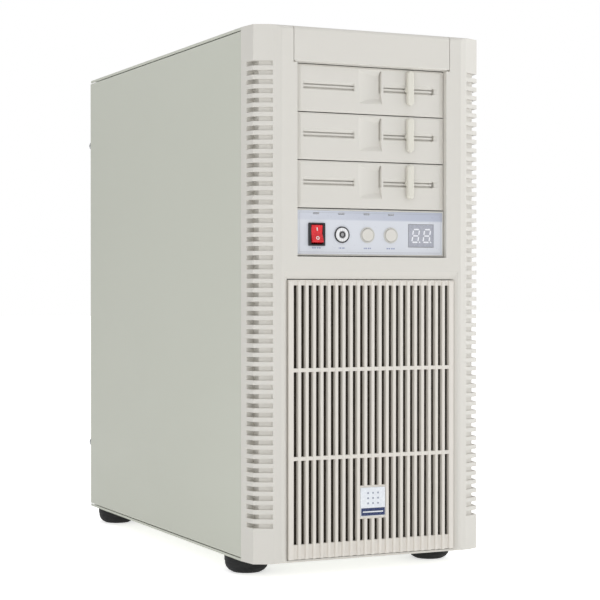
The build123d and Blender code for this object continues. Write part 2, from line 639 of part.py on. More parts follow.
def lock_cylinder():
    """The turning plug: an annular keyway with one notch, and the cam behind."""
    plug = rod_y(LOCK_X, CONTROL_Z, 3.4, COVER_FACE - 0.8, 19.5)
    keyway = rod_y(LOCK_X, CONTROL_Z, 2.7, 0, 10.0) - rod_y(LOCK_X, CONTROL_Z, 1.7, 0, 11.0)
    notch = Pos(LOCK_X, 6.0, CONTROL_Z) * Rot(0, -40, 0) * Pos(0, 0, 2.9) * Box(1.2, 8, 1.4)
    cam = block(LOCK_X - 3.4, LOCK_X + 3.4, 19.5, 21.0, CONTROL_Z - 3.4, CONTROL_Z + 11)
    return plug - [keyway, notch] + cam


def segment(points):
    return prism_y(points, COVER_FACE + 0.45, COVER_FACE + 0.6)


def digit(x, z):
    """Seven slanted segments of one figure, and the point beside it."""
    lean = 0.14
    width = 6.2
    height = 11.6
    bar = 1.3
    gap = 0.25
    shapes = []
    for level in (0, height / 2, height):
        left = x + lean * level - width / 2 + gap
        right = x + lean * level + width / 2 - gap
        low = z + level - bar / 2
        middle = low + bar / 2
        high = low + bar
        shapes.append(segment([(left + bar / 2, low), (right - bar / 2, low), (right, middle),
                               (right - bar / 2, high), (left + bar / 2, high), (left, middle)]))
    for level in (0, height / 2):
        for side in (-width / 2, width / 2):
            low = level + bar / 2 + gap
            high = level + height / 2 - bar / 2 - gap
            foot = x + side + lean * low
            head = x + side + lean * high
            bottom = z + low + 0.3
            top = z + high - 0.3
            shapes.append(segment([(foot - bar / 2, bottom), (foot, z + low), (foot + bar / 2, bottom),
                                   (head + bar / 2, top), (head, z + high), (head - bar / 2, top)]))
    shapes.append(rod_y(x + width / 2 + 1.7, z, 0.75, COVER_FACE + 0.45, COVER_FACE + 0.6))
    return shapes


def display_digits():
    base = CONTROL_Z - 5.8
    return digit(DISPLAY_X - 6.3, base) + digit(DISPLAY_X + 5.2, base)


def display_module():
    body = block(DISPLAY_X - DISPLAY_W / 2, DISPLAY_X + DISPLAY_W / 2, COVER_FACE + 0.6, COVER_REAR - 4,
                 CONTROL_Z - DISPLAY_H / 2, CONTROL_Z + DISPLAY_H / 2)
    rim = block(DISPLAY_X - DISPLAY_W / 2, DISPLAY_X + DISPLAY_W / 2, COVER_FACE + 0.2, COVER_FACE + 0.6,
                CONTROL_Z - DISPLAY_H / 2, CONTROL_Z + DISPLAY_H / 2)
    window = block(DISPLAY_X - DISPLAY_W / 2 + 0.8, DISPLAY_X + DISPLAY_W / 2 - 0.8, 0, COVER_FACE + 0.6,
                   CONTROL_Z - DISPLAY_H / 2 + 0.8, CONTROL_Z + DISPLAY_H / 2 - 0.8)
    return body + (rim - window)


def light_pipes():
    return [block(x - 2.4, x + 2.4, COVER_FACE + 0.5, COVER_REAR - 4, WINDOW_Z - 0.4, WINDOW_Z + 0.4)
            for x in WINDOW_X]


def control_board():
    """The small circuit board behind the controls."""
    board = block(-72.0, 72.0, COVER_REAR - 4, COVER_REAR - 2.4, PANEL_BOTTOM + 2.5, PANEL_TOP - 2.5)
    relief = block(ROCKER_X - 7.5, ROCKER_X + 7.5, 10, 30, CONTROL_Z - 10, CONTROL_Z + 10)
    lock_hole = rod_y(LOCK_X, CONTROL_Z, 6.4, 10, 30)
    middle = (PANEL_TOP + PANEL_BOTTOM) / 2
    post_holes = [rod_y(x, middle, 3.2, 10, 30) for x in (-70.0, 34.5, 70.0)]
    socket = block(60, 68, COVER_REAR - 2.4, COVER_REAR + 5, 300, 306)
    return board - [relief, lock_hole] - post_holes + socket


# ------------------------------------------------------------------ steel frame

def side_rails(z_floor, z_edge):
    """A sheet floor whose two long edges are turned, ready to hold the side panels."""
    low = min(z_floor, z_floor + SHEET)
    floor = block(-RAIL_X, RAIL_X, STEEL_FRONT, REAR_Y - SHEET, low, low + SHEET)
    edge = block(RAIL_X - SHEET, RAIL_X, STEEL_FRONT, REAR_Y - SHEET, min(z_edge, low),
                 max(z_edge, low + SHEET))
    return floor + both_sides(edge)


def top_deck():
    return side_rails(DECK_Z, PANEL_TOP_Z - 1.5)


def bottom_pan():
    """Floor sheet with turned edges, a lower skin and its outer lips."""
    floor = side_rails(PAN_Z, PANEL_BOTTOM_Z + 1.5)
    skin = block(-SIDE_X, SIDE_X, BEZEL_DEPTH + GAP, REAR_Y, 0, SHEET)
    lip = block(SIDE_X - SHEET, SIDE_X, BEZEL_DEPTH + GAP, REAR_Y, 0, 2.2)
    web = block(99, 100, STEEL_FRONT, REAR_Y - SHEET, SHEET, PAN_Z)
    vents = []
    for index in range(12):
        x = -44 + 8 * index
        vents.append(block(x - 2, x + 2, 330, 425, -1, PAN_Z + 2))
    return floor + [skin] + both_sides(lip) + both_sides(web) - vents


def top_panel():
    """The roof sheet, its edge lips and the two folds that stand on the deck."""
    roof = block(-SIDE_X, SIDE_X, BEZEL_DEPTH + GAP, REAR_Y, BODY_HEIGHT - SHEET, BODY_HEIGHT)
    lip = block(SIDE_X - SHEET, SIDE_X, BEZEL_DEPTH + GAP, REAR_Y, PANEL_TOP_Z + 0.8, BODY_HEIGHT)
    fold = block(99, 100, STEEL_FRONT, REAR_Y - SHEET, DECK_Z + SHEET, BODY_HEIGHT - SHEET)
    return roof + both_sides(lip) + both_sides(fold)


def side_panel():
    """A side skin whose top and bottom edges are turned in and hooked over the rails."""
    front = BEZEL_DEPTH + 0.5
    rear = REAR_Y + GAP + SHEET
    skin = block(SIDE_X - SHEET, SIDE_X, front, rear, PANEL_BOTTOM_Z, PANEL_TOP_Z)
    top = block(LIP_OUT - SHEET, SIDE_X, front, REAR_Y - 2, PANEL_TOP_Z - SHEET, PANEL_TOP_Z)
    bottom = block(LIP_OUT - SHEET, SIDE_X, front, REAR_Y - 2, PANEL_BOTTOM_Z, PANEL_BOTTOM_Z + SHEET)
    hook_top = block(LIP_OUT - SHEET, LIP_OUT, front + 1, REAR_Y - 2, PANEL_TOP_Z - 7, PANEL_TOP_Z)
    hook_bottom = block(LIP_OUT - SHEET, LIP_OUT, front + 1, REAR_Y - 2, PANEL_BOTTOM_Z,
                        PANEL_BOTTOM_Z + 5.8)
    flange = block(SIDE_X - 12, SIDE_X, REAR_Y + GAP, rear, 12, DECK_Z - 2)
    holes = [rod_y(SIDE_X - THUMB_SCREW_IN, z, 2.0, REAR_Y - 5, rear + 5) for z in THUMB_SCREW_Z]
    return skin + [top, bottom, hook_top, hook_bottom, flange] - holes


def thumb_screw(x, z):
    """A knurled captive screw that holds the side panel's rear flange."""
    rear = REAR_Y + GAP + SHEET
    head = rod_y(x, z, 5.5, rear, rear + SCREW_HEAD)
    head = chamfer(head.edges().group_by(Axis.Y)[-1], 0.6)
    flutes = []
    for index in range(18):
        flutes.append(Rot(0, 20 * index, 0) * block(-0.35, 0.35, -1, SCREW_HEAD - 1.5, 5.0, 6.0))
    cross = [block(-2.4, 2.4, SCREW_HEAD - 1.6, SCREW_HEAD + 1, -0.45, 0.45)]
    cross.append(block(-0.45, 0.45, SCREW_HEAD - 1.6, SCREW_HEAD + 1, -2.4, 2.4))
    head = head - [Pos(x, rear, z) * shape for shape in flutes + cross]
    return head + rod_y(x, z, 1.7, REAR_Y - SHEET - 2.0, rear)


def thumb_screws(side):
    return [thumb_screw(side * (SIDE_X - THUMB_SCREW_IN), z) for z in THUMB_SCREW_Z]


def front_steel_panel():
    """The sheet between bezel and insides, slotted where the fans breathe."""
    sheet = block(-RAIL_X + 1.2, RAIL_X - 1.2, STEEL_FRONT, STEEL_FRONT + SHEET, PAN_Z + SHEET, DECK_Z)
    bays = block(-BAY_HALF, BAY_HALF, 0, 50, BAY_BOTTOM - 1, BAY_TOP + 1.5)
    slots = []
    for fan_z in FRONT_FAN_Z:
        for index in range(13):
            x = (index - 6) * 8.5
            reach = (56.0 ** 2 - x ** 2) ** 0.5
            slots.append(block(x - 2.4, x + 2.4, 0, 50, fan_z + 2.0, fan_z + reach))
            slots.append(block(x - 2.4, x + 2.4, 0, 50, fan_z - reach, fan_z - 2.0))
    wires = [rounded_block(x - 9, x + 9, 0, 50, 448, 456, 3) for x in (-60, 60)]
    return sheet - [bays] - slots - wires


def fan_bolt_holes(x, z, y0, y1):
    half = FAN_HOLES / 2
    return [rod_y(x + sx * half, z + sz * half, 2.2, y0, y1) for sx in (-1, 1) for sz in (-1, 1)]


def slot_z(index):
    return FIRST_SLOT_Z - index * SLOT_PITCH


def rear_vents(x, z):
    """Ring segments of small holes in front of the rear fan."""
    holes = []
    for ring in range(1, 7):
        radius = 8.6 * ring
        count = 6 * ring
        for index in range(count):
            place = Pos(x, 0, z) * Rot(0, 360.0 / count * index, 0) * Pos(radius, REAR_Y, 0)
            holes.append(place * Rot(90, 0, 0) * Cylinder(3.4, 10))
    return holes


def rear_panel():
    main = block(-105.8, 105.8, REAR_Y - SHEET, REAR_Y, SHEET + GAP, BODY_HEIGHT - SHEET - GAP)
    wings = block(-SIDE_X + 1.8, SIDE_X - 1.8, REAR_Y - SHEET, REAR_Y, 12, DECK_Z - 2)
    cuts = [block(PSU_X[0] + 8, PSU_X[1] - 8, 440, 470, PSU_Z[0] + 8, PSU_Z[1] - 8)]
    cuts.extend([rod_y(x, z, 2.0, 440, 470) for x, z in PSU_SCREWS])
    cuts.extend([rod_y(BRACKET_SCREW_X, slot_z(index), 1.8, 440, 470) for index in range(SLOT_COUNT)])
    cuts.append(block(IO_X[0], IO_X[1], 440, 470, IO_Z[0], IO_Z[1]))
    for index in range(SLOT_COUNT):
        cuts.append(block(-14, 84, 440, 470, slot_z(index) - 6.4, slot_z(index) + 6.4))
    cuts.extend(fan_bolt_holes(REAR_FAN[0], REAR_FAN[1], 440, 470))
    for side in (-1, 1):
        cuts.extend([rod_y(side * (SIDE_X - THUMB_SCREW_IN), z, 2.0, 440, 470) for z in THUMB_SCREW_Z])
    return main + wings - cuts - rear_vents(REAR_FAN[0], REAR_FAN[1])


def motherboard_tray():
    """The flat wall that carries the motherboard, with cable holes along its front."""
    tray = block(TRAY_X, TRAY_X + SHEET, STEEL_FRONT + SHEET, REAR_Y - SHEET, PAN_Z + SHEET, DECK_Z)
    holes = [block(TRAY_X - 5, TRAY_X + 5, 172, 200, z, z + 60) for z in (150, 240, 330)]
    holes.append(block(TRAY_X - 5, TRAY_X + 5, 230, 290, 105, 128))
    return tray - holes


def bay_cage():
    """The two side walls and the shelf round the drive bays."""
    walls = []
    for side in (-1, 1):
        x0 = min(side * 75.6, side * 76.6)
        wall = block(x0, x0 + 1, STEEL_FRONT + SHEET, 190, BAY_BOTTOM - 1, DECK_Z)
        slots = []
        for row in range(BAY_COUNT):
            z = BAY_TOP - row * BAY_PITCH - 24
            slots.extend([block(-100, 100, y, y + 14, z - 1.8, z + 1.8) for y in (52, 132)])
        walls.append(wall - slots)
    shelf = block(-76.6, 76.6, STEEL_FRONT + SHEET, 190, BAY_BOTTOM - 2, BAY_BOTTOM - 1)
    return walls + [shelf]


# ------------------------------------------------------------------------- fans

def fan_frame(size, depth, bore):
    """Square fan housing along +Y, with its motor seat and four arms at the rear."""
    half = size / 2
    body = rounded_block(-half, half, 0, depth, -half, half, 5.0)
    body = body - rod_y(0, 0, bore, -1, depth + 1)
    waist = block(-half - 1, half + 1, 4, depth - 4, -half - 1, half + 1)
    inner = half - FAN_WAIST_WALL
    waist = waist - block(-inner, inner, 3, depth - 3, -inner, inner)
    waist = waist - [block(-half * 1.1, half * 1.1, 3, depth, sz * half - 14, sz * half + 14)
                     for sz in (-1, 1)]
    body = body - waist
    arms = [Rot(0, 45 + 90 * k, 0) * block(-2.2, 2.2, depth - 3, depth, 10, bore + 2) for k in range(4)]
    seat = rod_y(0, 0, size * 0.17, depth - 3, depth)
    holes = [rod_y(sx * FAN_HOLES / size * half, sz * FAN_HOLES / size * half, 2.2, -1, depth + 1)
             for sx in (-1, 1) for sz in (-1, 1)]
    return body + arms + [seat] - holes - rod_y(0, 0, 1.5 + RUNNING, depth - 4, depth + 1)


def fan_rotor(hub, tip, depth, blades):
    """Hub, shaft and pitched blades along +Y."""
    body = rod_y(0, 0, hub, 1.5, depth - 3.6)
    body = fillet(body.edges().group_by(Axis.Y)[0], 1.5)
    ring = rod_y(0, 0, tip, 2.0, depth - 4.2) - rod_y(0, 0, hub - 0.5, 0, depth)
    span = (depth - 6) * 1.1
    blade = Pos(0, depth / 2, (tip + hub) / 2) * Rot(0, 0, 52) * Box(span * 1.5, 1.6, tip - hub + 6)
    vanes = []
    for index in range(blades):
        vanes.append((Rot(0, 360.0 / blades * index, 0) * blade) & ring)
    shaft = rod_y(0, 0, 1.5, depth - 4, depth - 0.4)
    return body + vanes + [shaft]


def front_fan_place(z):
    return Pos(0, STEEL_FRONT + SHEET + 0.2, z)


def rear_fan_place():
    return Pos(REAR_FAN[0], REAR_Y - SHEET - FAN_DEPTH - 0.1, REAR_FAN[1])


def cpu_fan_place():
    return Pos(*CPU_FAN)


def psu_fan_place():
    """The supply's fan lies flat under its upper wall and blows downward."""
    return Pos(PSU_FAN[0], PSU_FAN[1], PSU_Z[1] - 1.2) * Rot(-90, 0, 0)


# ----------------------------------------------------------------- power supply

def psu_case():
    """The supply's sheet box, with its intake on top and its vent at the rear."""
    shell = block(PSU_X[0], PSU_X[1], PSU_Y[0], PSU_Y[1], PSU_Z[0], PSU_Z[1])
    inside = block(PSU_X[0] + 1, PSU_X[1] - 1, PSU_Y[0] + 1, PSU_Y[1] - 1, PSU_Z[0] + 1, PSU_Z[1] - 1)
    intake = rod_z(PSU_FAN[0], PSU_FAN[1], 57.0, PSU_Z[1] - 5, PSU_Z[1] + 5)
    cuts = [inside, intake]
    cuts.append(block(INLET_X - 13.9, INLET_X + 13.9, 440, 470, INLET_Z - 10.1, INLET_Z + 10.1))
    cuts.append(block(SWITCH_X - 6.7, SWITCH_X + 6.7, 440, 470, INLET_Z - 9.7, INLET_Z + 9.7))
    for column in range(9):
        for row in range(8):
            x = -58 + 8.2 * column
            z = 22 + 9.2 * row + 4.6 * (column % 2)
            cuts.append(Pos(x, PSU_Y[1], z) * Rot(90, 0, 0) * Cylinder(3.2, 10))
    cuts.append(rounded_block(-60, 40, PSU_Y[0] - 5, PSU_Y[0] + 5, 40, 70, 4))
    cuts.extend([rod_y(x, z, 1.8, 440, 470) for x, z in PSU_SCREWS])
    return shell - cuts


def psu_board():
    """What the supply holds: its board, transformer, coils and capacitors."""
    board = block(PSU_X[0] + 4, PSU_X[1] - 4, PSU_Y[0] + 6, PSU_Y[1] - 26, PSU_Z[0] + 6, PSU_Z[0] + 7.6)
    feet = [rod_z(x, y, 3, PSU_Z[0] + 1, PSU_Z[0] + 6) for x in (-60, 70) for y in (315, 420)]
    transformer = block(-20, 18, 345, 385, PSU_Z[0] + 7.6, 50)
    sinks = [block(x, x + 3, 320, 420, PSU_Z[0] + 7.6, 60) for x in (-45, 45)]
    cans = [rod_z(60, y, 9, PSU_Z[0] + 7.6, 55) for y in (335, 360)]
    coil = rod_z(0, 405, 11, PSU_Z[0] + 7.6, 34) - rod_z(0, 405, 5, 30, 40)
    return board + feet + [transformer] + sinks + cans + [coil]


def psu_modular_sockets():
    """The row of cable sockets on the supply's inner end."""
    plate = block(-62, 42, PSU_Y[0] - 1.2, PSU_Y[0], 38, 72)
    sockets = []
    for column in range(4):
        for row in range(2):
            x = -52 + 25 * column
            z = 44 + 15 * row
            body = block(x, x + 18, PSU_Y[0] - 3.4, PSU_Y[0] - 1.2, z, z + 8.5)
            holes = [block(x + 1.2 + 4.2 * k, x + 4.2 + 4.2 * k, PSU_Y[0] - 4, PSU_Y[0] - 1.8,
                           z + 1.2 + 3.4 * j, z + 3.9 + 3.4 * j) for k in range(4) for j in range(2)]
            sockets.append(body - holes)
    return plate + sockets


def psu_fan_guard():
    """Rings and spokes of wire over the supply's intake."""
    z = PSU_Z[1] + 0.8
    rings = [Pos(PSU_FAN[0], PSU_FAN[1], z) * Torus(radius, 0.8) for radius in (16, 28, 40, 52)]
    spokes = []
    for index in range(4):
        arm = Pos(PSU_FAN[0], PSU_FAN[1], z) * Rot(0, 0, 45 + 90 * index) * Rot(0, 90, 0)
        spokes.append(arm * Pos(0, 0, 38) * Cylinder(0.8, 47))
    return rings[0] + rings[1:] + spokes


def power_inlet():
    """The three-pin inlet: a flanged socket shell with its three blades."""
    rear = PSU_Y[1]
    flange = rounded_block(INLET_X - 15.3, INLET_X + 15.3, rear, rear + 1.8, INLET_Z - 11.9,
                           INLET_Z + 11.9, 2.5)
    body = block(INLET_X - 13.7, INLET_X + 13.7, rear - 19.5, rear + 0.5, INLET_Z - 9.9, INLET_Z + 9.9)
    top = INLET_Z + 8.1
    corner = INLET_Z - 3.4
    bottom = INLET_Z - 8.1
    mouth = [(INLET_X - 12.0, top), (INLET_X + 12.0, top), (INLET_X + 12.0, corner),
             (INLET_X + 7.3, bottom), (INLET_X - 7.3, bottom), (INLET_X - 12.0, corner)]
    cavity = prism_y(mouth, rear - 17.5, rear + 5)
    blades = []
    for dx, dz in ((-7, -2), (0, 2), (7, -2)):
        blades.append(block(INLET_X + dx - 1, INLET_X + dx + 1, rear - 18.5, rear - 2.5,
                            INLET_Z + dz - 2, INLET_Z + dz + 2))
    return (flange + body - cavity) + blades


def psu_switch_frame():
    rear = PSU_Y[1]
    flange = rounded_block(SWITCH_X - 7.5, SWITCH_X + 7.5, rear, rear + 1.8, INLET_Z - 10.5,
                           INLET_Z + 10.5, 0.8)
    body = block(SWITCH_X - 6.5, SWITCH_X + 6.5, rear - 13, rear + 0.4, INLET_Z - 9.5, INLET_Z + 9.5)
    well = block(SWITCH_X - 5.6, SWITCH_X + 5.6, rear - 11.5, rear + 5, INLET_Z - 8.8, INLET_Z + 8.8)
    pivot = rod_x(rear - 2.5, INLET_Z, 1.0, SWITCH_X - 6.0, SWITCH_X + 6.0)
    return flange + body - well + pivot


def psu_switch():
    """The supply's own rocker, turned to its upper stop."""
    points = [(3.6, -7.9), (2.2, 0), (3.6, 7.9), (-1.0, 7.9), (-4.4, 3.0), (-4.4, -3.0), (-1.0, -7.9)]
    section = round_corners(outline(points), 1.0, [(3.6, -7.9), (3.6, 7.9)])
    body = draw_x(section, -5.3, 5.3)
    body = body - rod_x(0, 0, 1.0 + RUNNING, -7, 7)
    bar = block(-0.35, 0.35, 2.2, 3.0, 2.4, 5.2)
    ring = rod_y(0, -4.2, 1.5, 2.2, 3.1) - rod_y(0, -4.2, 1.0, 1, 5)
    return Pos(SWITCH_X, PSU_Y[1] - 2.5, INLET_Z) * Rot(9.0, 0, 0) * (body + [bar, ring])


# --------------------------------------------------------------------- electronics

def chip(y0, y1, z0, z1, height):
    """A part standing on the motherboard's face."""
    return block(BOARD_FACE - height, BOARD_FACE, y0, y1, z0, z1)


def motherboard():
    board = block(BOARD_FACE, BOARD_X, BOARD_FRONT, BOARD_REAR, BOARD_BOTTOM, BOARD_BOTTOM + BOARD_HEIGHT)
    holes = [rod_x(y, z, 2.0, 80, 100) for y, z in STANDOFF_SPOTS]
    return board - holes


def board_sockets():
    """Card slots, memory slots, power and drive connectors."""
    shapes = []
    for index in range(SLOT_COUNT - 1):
        z = slot_z(index)
        body = chip(BOARD_REAR - 135, BOARD_REAR - 45, z - 3.7, z + 3.7, 11)
        shapes.append(body - chip(BOARD_REAR - 134, BOARD_REAR - 46, z - 1.1, z + 1.1, 12))
    for index in range(4):
        y = BOARD_FRONT + 22 + 10 * index
        body = chip(y - 3.2, y + 3.2, 300, 438, 7.5)
        shapes.append(body - chip(y - 0.9, y + 0.9, 302, 436, 8))
    shapes.append(chip(BOARD_FRONT + 2, BOARD_FRONT + 12, 340, 392, 12))
    shapes.append(chip(BOARD_REAR - 90, BOARD_REAR - 70, 430, 439, 12))
    shapes.extend([chip(BOARD_FRONT + 1, BOARD_FRONT + 14, z, z + 16, 9) for z in (215, 240, 265)])
    return shapes


def board_heatsinks():
    """Finned blocks over the voltage regulators and the chipset."""
    chipset = chip(BOARD_FRONT + 40, BOARD_FRONT + 82, 180, 222, 12)
    cuts = [chip(BOARD_FRONT + 44 + 7 * k, BOARD_FRONT + 47 + 7 * k, 170, 240, 20) for k in range(6)]
    cuts = [cut & block(0, BOARD_FACE - 4, 0, 500, 0, 500) for cut in cuts]
    side = chip(BOARD_REAR - 62, BOARD_REAR - 44, 320, 410, 26)
    fins = [chip(BOARD_REAR - 70, BOARD_REAR - 40, 325 + 9 * k, 328.5 + 9 * k, 30) for k in range(10)]
    fins = [cut & block(0, BOARD_FACE - 6, 0, 500, 0, 500) for cut in fins]
    return [chipset - cuts, side - fins]


def standoffs():
    shapes = []
    for y, z in STANDOFF_SPOTS:
        post = rod_x(y, z, 2.9, BOARD_X, TRAY_X)
        head = rod_x(y, z, 3.1, BOARD_FACE - 1.8, BOARD_FACE)
        neck = rod_x(y, z, 1.6, BOARD_FACE - 0.5, BOARD_X + 1)
        shapes.append(post + [head, neck])
    return shapes


def usb_stack(z):
    """Two stacked rear ports, each with its tongue."""
    body = block(73.5, 87.5, 432, REAR_Y + 0.6, z, z + 14)
    for low in (z + 0.9, z + 7.5):
        body = body - block(74.4, 86.6, 442, REAR_Y + 2, low, low + 5.4)
        body = body + block(75.5, 85.5, 441, REAR_Y - 1, low + 2.9, low + 4.7)
    return body


def network_jack(z):
    """The network socket, open to the rear."""
    body = block(72.0, 88.0, 432, REAR_Y + 0.6, z, z + 14)
    return body - block(73.8, 86.2, 442, REAR_Y + 2, z + 2.4, z + 11.4)


def io_shield():
    plate = block(IO_X[0] + 0.3, IO_X[1] - 0.3, REAR_Y - SHEET, REAR_Y, IO_Z[0] + 0.3, IO_Z[1] - 0.3)
    cuts = [block(73.2, 87.8, 440, 470, z - 0.3, z + 14.3) for z in USB_STACK_Z]
    cuts.append(block(71.7, 88.3, 440, 470, NETWORK_Z - 0.3, NETWORK_Z + 14.3))
    for z in REAR_JACK_Z:
        cuts.extend([rod_y(x, z, 4.4, 440, 470) for x in REAR_JACK_X])
    cuts.extend([block(49, 69, 440, 470, 372 + 5 * k, 374 + 5 * k) for k in range(11)])
    return plate - cuts


def io_ports():
    shapes = [usb_stack(z) for z in USB_STACK_Z]
    shapes.append(network_jack(NETWORK_Z))
    for z in REAR_JACK_Z:
        for x in REAR_JACK_X:
            shapes.append(rod_y(x, z, 4.0, 436, REAR_Y + 1.0) - rod_y(x, z, 1.8, 440, REAR_Y + 2))
    return shapes


def cpu_heatsink():
    """A tower of thin fins on four heat pipes over a base block."""
    base = block(76, BOARD_FACE, CPU_Y - 18, CPU_Y + 18, CPU_Z - 18, CPU_Z + 18)
    fins = []
    for index in range(30):
        x = -40 + 3.4 * index
        fins.append(block(x, x + 0.7, 288.0, 338.0, CPU_Z - 58, CPU_Z + 58))
    pipes = []
    for z in (CPU_Z - 40, CPU_Z - 14, CPU_Z + 14, CPU_Z + 40):
        pipes.append(rod_x(326, z, 3.0, -44, 82))
    bridge = [block(78, 84, 322, 330, CPU_Z - 43, CPU_Z + 43)]
    return base + pipes + bridge + fins


def memory_module(y):
    """One upright memory stick with a row of chips on its front face."""
    stick = block(BOARD_FACE - 36, BOARD_FACE - 3, y - 0.6, y + 0.6, 303, 435)
    chips = [block(BOARD_FACE - 30, BOARD_FACE - 18, y - 1.6, y - 0.6, 308 + 15.6 * k, 318 + 15.6 * k)
             for k in range(8)]
    return stick + chips


def memory_modules():
    return [memory_module(BOARD_FRONT + 22 + 20 * index) for index in range(2)]


def expansion_card():
    """A one-slot card: board, edge contacts and rear bracket."""
    z = slot_z(CARD_SLOT)
    board = block(-10, BOARD_FACE - 11.5, 290, 450, z - 0.8, z + 0.8)
    tongue = block(BOARD_FACE - 11.5, BOARD_FACE - 2, BOARD_REAR - 130, BOARD_REAR - 50, z - 0.8, z + 0.8)
    bracket = block(-22, 88, REAR_Y - SHEET - 1, REAR_Y - SHEET, z - 9.2, z + 9.2)
    sockets = [block(x, x + 26, 440, REAR_Y - SHEET + 0.6, z - 6.1, z + 0.9) for x in (4, 44)]
    mouths = [block(x + 1, x + 25, 446, REAR_Y + 2, z - 5.1, z - 0.1) for x in (4, 44)]
    screw_hole = rod_y(BRACKET_SCREW_X, z, 1.8, 440, 470)
    contacts = [block(x + 3, x + 23, 445, REAR_Y - 2, z - 3.1, z - 2.1) for x in (4, 44)]
    return board + [tongue, bracket] + sockets - mouths + contacts - screw_hole


def card_cooler():
    """The finned cooler under the card."""
    z = slot_z(CARD_SLOT)
    body = block(0, 66, 305, 425, z - 10.8, z - 0.8)
    cuts = [block(-5, 70, 309 + 6 * k, 312 + 6 * k, z - 12, z - 3.4) for k in range(19)]
    return body - cuts


def slot_covers():
    """Blank brackets in the unused card slots, each with a small ridge."""
    covers = []
    for index in range(SLOT_COUNT):
        if index == CARD_SLOT:
            continue
        z = slot_z(index)
        plate = block(-22, 88, REAR_Y - SHEET - 1, REAR_Y - SHEET, z - 9.2, z + 9.2)
        ridge = block(-8, 78, REAR_Y - SHEET, REAR_Y - SHEET + 0.7, z - 2, z + 2)
        covers.append(plate + ridge - rod_y(BRACKET_SCREW_X, z, 1.8, 440, 470))
    return covers


def drive_tray():
    """The folded tray under the hard drive."""
    floor = block(-60, 52, 80, 236, 14.0, 15.2)
    walls = [block(-60, -58.8, 80, 236, 14.0, 36), block(50.8, 52, 80, 236, 14.0, 36)]
    legs = [block(x, x + 12, 84, 232, PAN_Z + SHEET, 14.0) for x in (-58, 38)]
    vents = [block(-40 + 16 * k, -32 + 16 * k, 100, 216, 10.9, 20) for k in range(5)]
    return floor + walls + legs - vents


def hard_drive():
    """A 3.5 inch drive: cast base, cover plate and connector step."""
    body = block(-54.8, 46.8, 84, 231, 16.2, 42.3)
    edge = rounded_block(-54.8, 46.8, 84, 231, 16.2, 42.3, 1.0)
    relief = block(-51, 43, 88, 227, 41.7, 43)
    step = block(-30, 20, 223, 232, 16.0, 24)
    disc = rod_z(-4, 140, 38, 41.3, 42.1)
    return (body & edge) - [relief, step] + disc


def screw_head(x, z, y):
    head = rod_y(x, z, 3.6, y, y + 1.9)
    head = fillet(head.edges().group_by(Axis.Y)[-1], 0.8)
    cross = [block(x - 2.0, x + 2.0, y + 0.9, y + 3, z - 0.4, z + 0.4)]
    cross.append(block(x - 0.4, x + 0.4, y + 0.9, y + 3, z - 2.0, z + 2.0))
    return head - cross + rod_y(x, z, 1.5, y - 3, y)


def rear_screws():
    """The screws of the rear fan, the power supply and the card brackets."""
    half = FAN_HOLES / 2
    screws = [screw_head(REAR_FAN[0] + sx * half, REAR_FAN[1] + sz * half, REAR_Y)
              for sx in (-1, 1) for sz in (-1, 1)]
    for x, z in PSU_SCREWS:
        screws.append(screw_head(x, z, PSU_Y[1] + 1.3))
    return screws


def bracket_screws():
    """One screw at the outer end of each card bracket."""
    return [screw_head(BRACKET_SCREW_X, slot_z(index), REAR_Y) for index in range(SLOT_COUNT)]


def foot():
    """Round rubber foot: a straight upper flange, a step and a curved lower body."""
    points = [(0, 0), (20.3, 0), (20.3, -5.0), (19.8, -5.6), (19.7, -8.0), (18.6, -11.0),
              (16.4, -13.6), (13.0, -FOOT_HEIGHT), (0, -FOOT_HEIGHT)]
    section = Plane.XZ * outline(points)
    return revolve(section, Axis.Z)


def write_front():
    save("front_bezel", front_bezel())
    save("front_grille", front_grille())
    save("badge", badge(), badge_band())
    save("dust_filter", dust_filter())
    save("top_flap", top_flap())
    save("front_io_module", front_io_bracket(), *front_io_ports())
    for row in range(BAY_COUNT - 1):
        row_top = BAY_TOP - row * BAY_PITCH
        save(f"bay_cover_{row + 1}", bay_cover(row_top))
        save(f"latch_lever_{row + 1}", latch_lever(row_top))


def write_controls():
    save("control_panel_plate", control_panel_plate())
    save("control_label", control_label())
    save("control_board", control_board())
    save("reset_button", push_button(RESET_X, 2.0))
    save("turbo_button", push_button(TURBO_X, 2.0))
    save("rocker_frame", rocker_frame())
    save("rocker_switch", rocker_switch())
    save("lock_body", lock_body(), lock_ring())
    save("lock_cylinder", lock_cylinder())
    save("display_module", display_module(), *display_digits())
    save("indicator_windows", *light_pipes())


def write_frame():
    save("bottom_pan", bottom_pan())
    save("top_deck", top_deck())
    save("top_panel", top_panel())
    save("right_side_panel", side_panel())
    save("left_side_panel", mirrored(side_panel()))
    save("thumb_screws_right", *thumb_screws(1))
    save("thumb_screws_left", *thumb_screws(-1))
    save("front_steel_panel", front_steel_panel())
    save("rear_panel", rear_panel())
    save("motherboard_tray", motherboard_tray())
    save("bay_cage", *bay_cage())
    save("feet", *[Pos(sx * FOOT_X, y, 0) * foot() for sx in (-1, 1) for y in FOOT_Y])


def write_fans():
    frame = fan_frame(FAN_SIZE, FAN_DEPTH, 57.5)
    rotor = fan_rotor(20.0, 56.3, FAN_DEPTH, 7)
    save("front_fan_frames", *[front_fan_place(z) * frame for z in FRONT_FAN_Z])
    for name, z in zip(("lower", "upper"), FRONT_FAN_Z):
        save(f"front_fan_rotor_{name}", front_fan_place(z) * rotor)
    save("rear_fan_frame", rear_fan_place() * frame)
    save("rear_fan_rotor", rear_fan_place() * rotor)
    save("cpu_fan_frame", cpu_fan_place() * frame)
    save("cpu_fan_rotor", cpu_fan_place() * rotor)
    save("psu_fan_rotor", psu_fan_place() * fan_rotor(21.0, 55.8, PSU_FAN_DEPTH, 9))


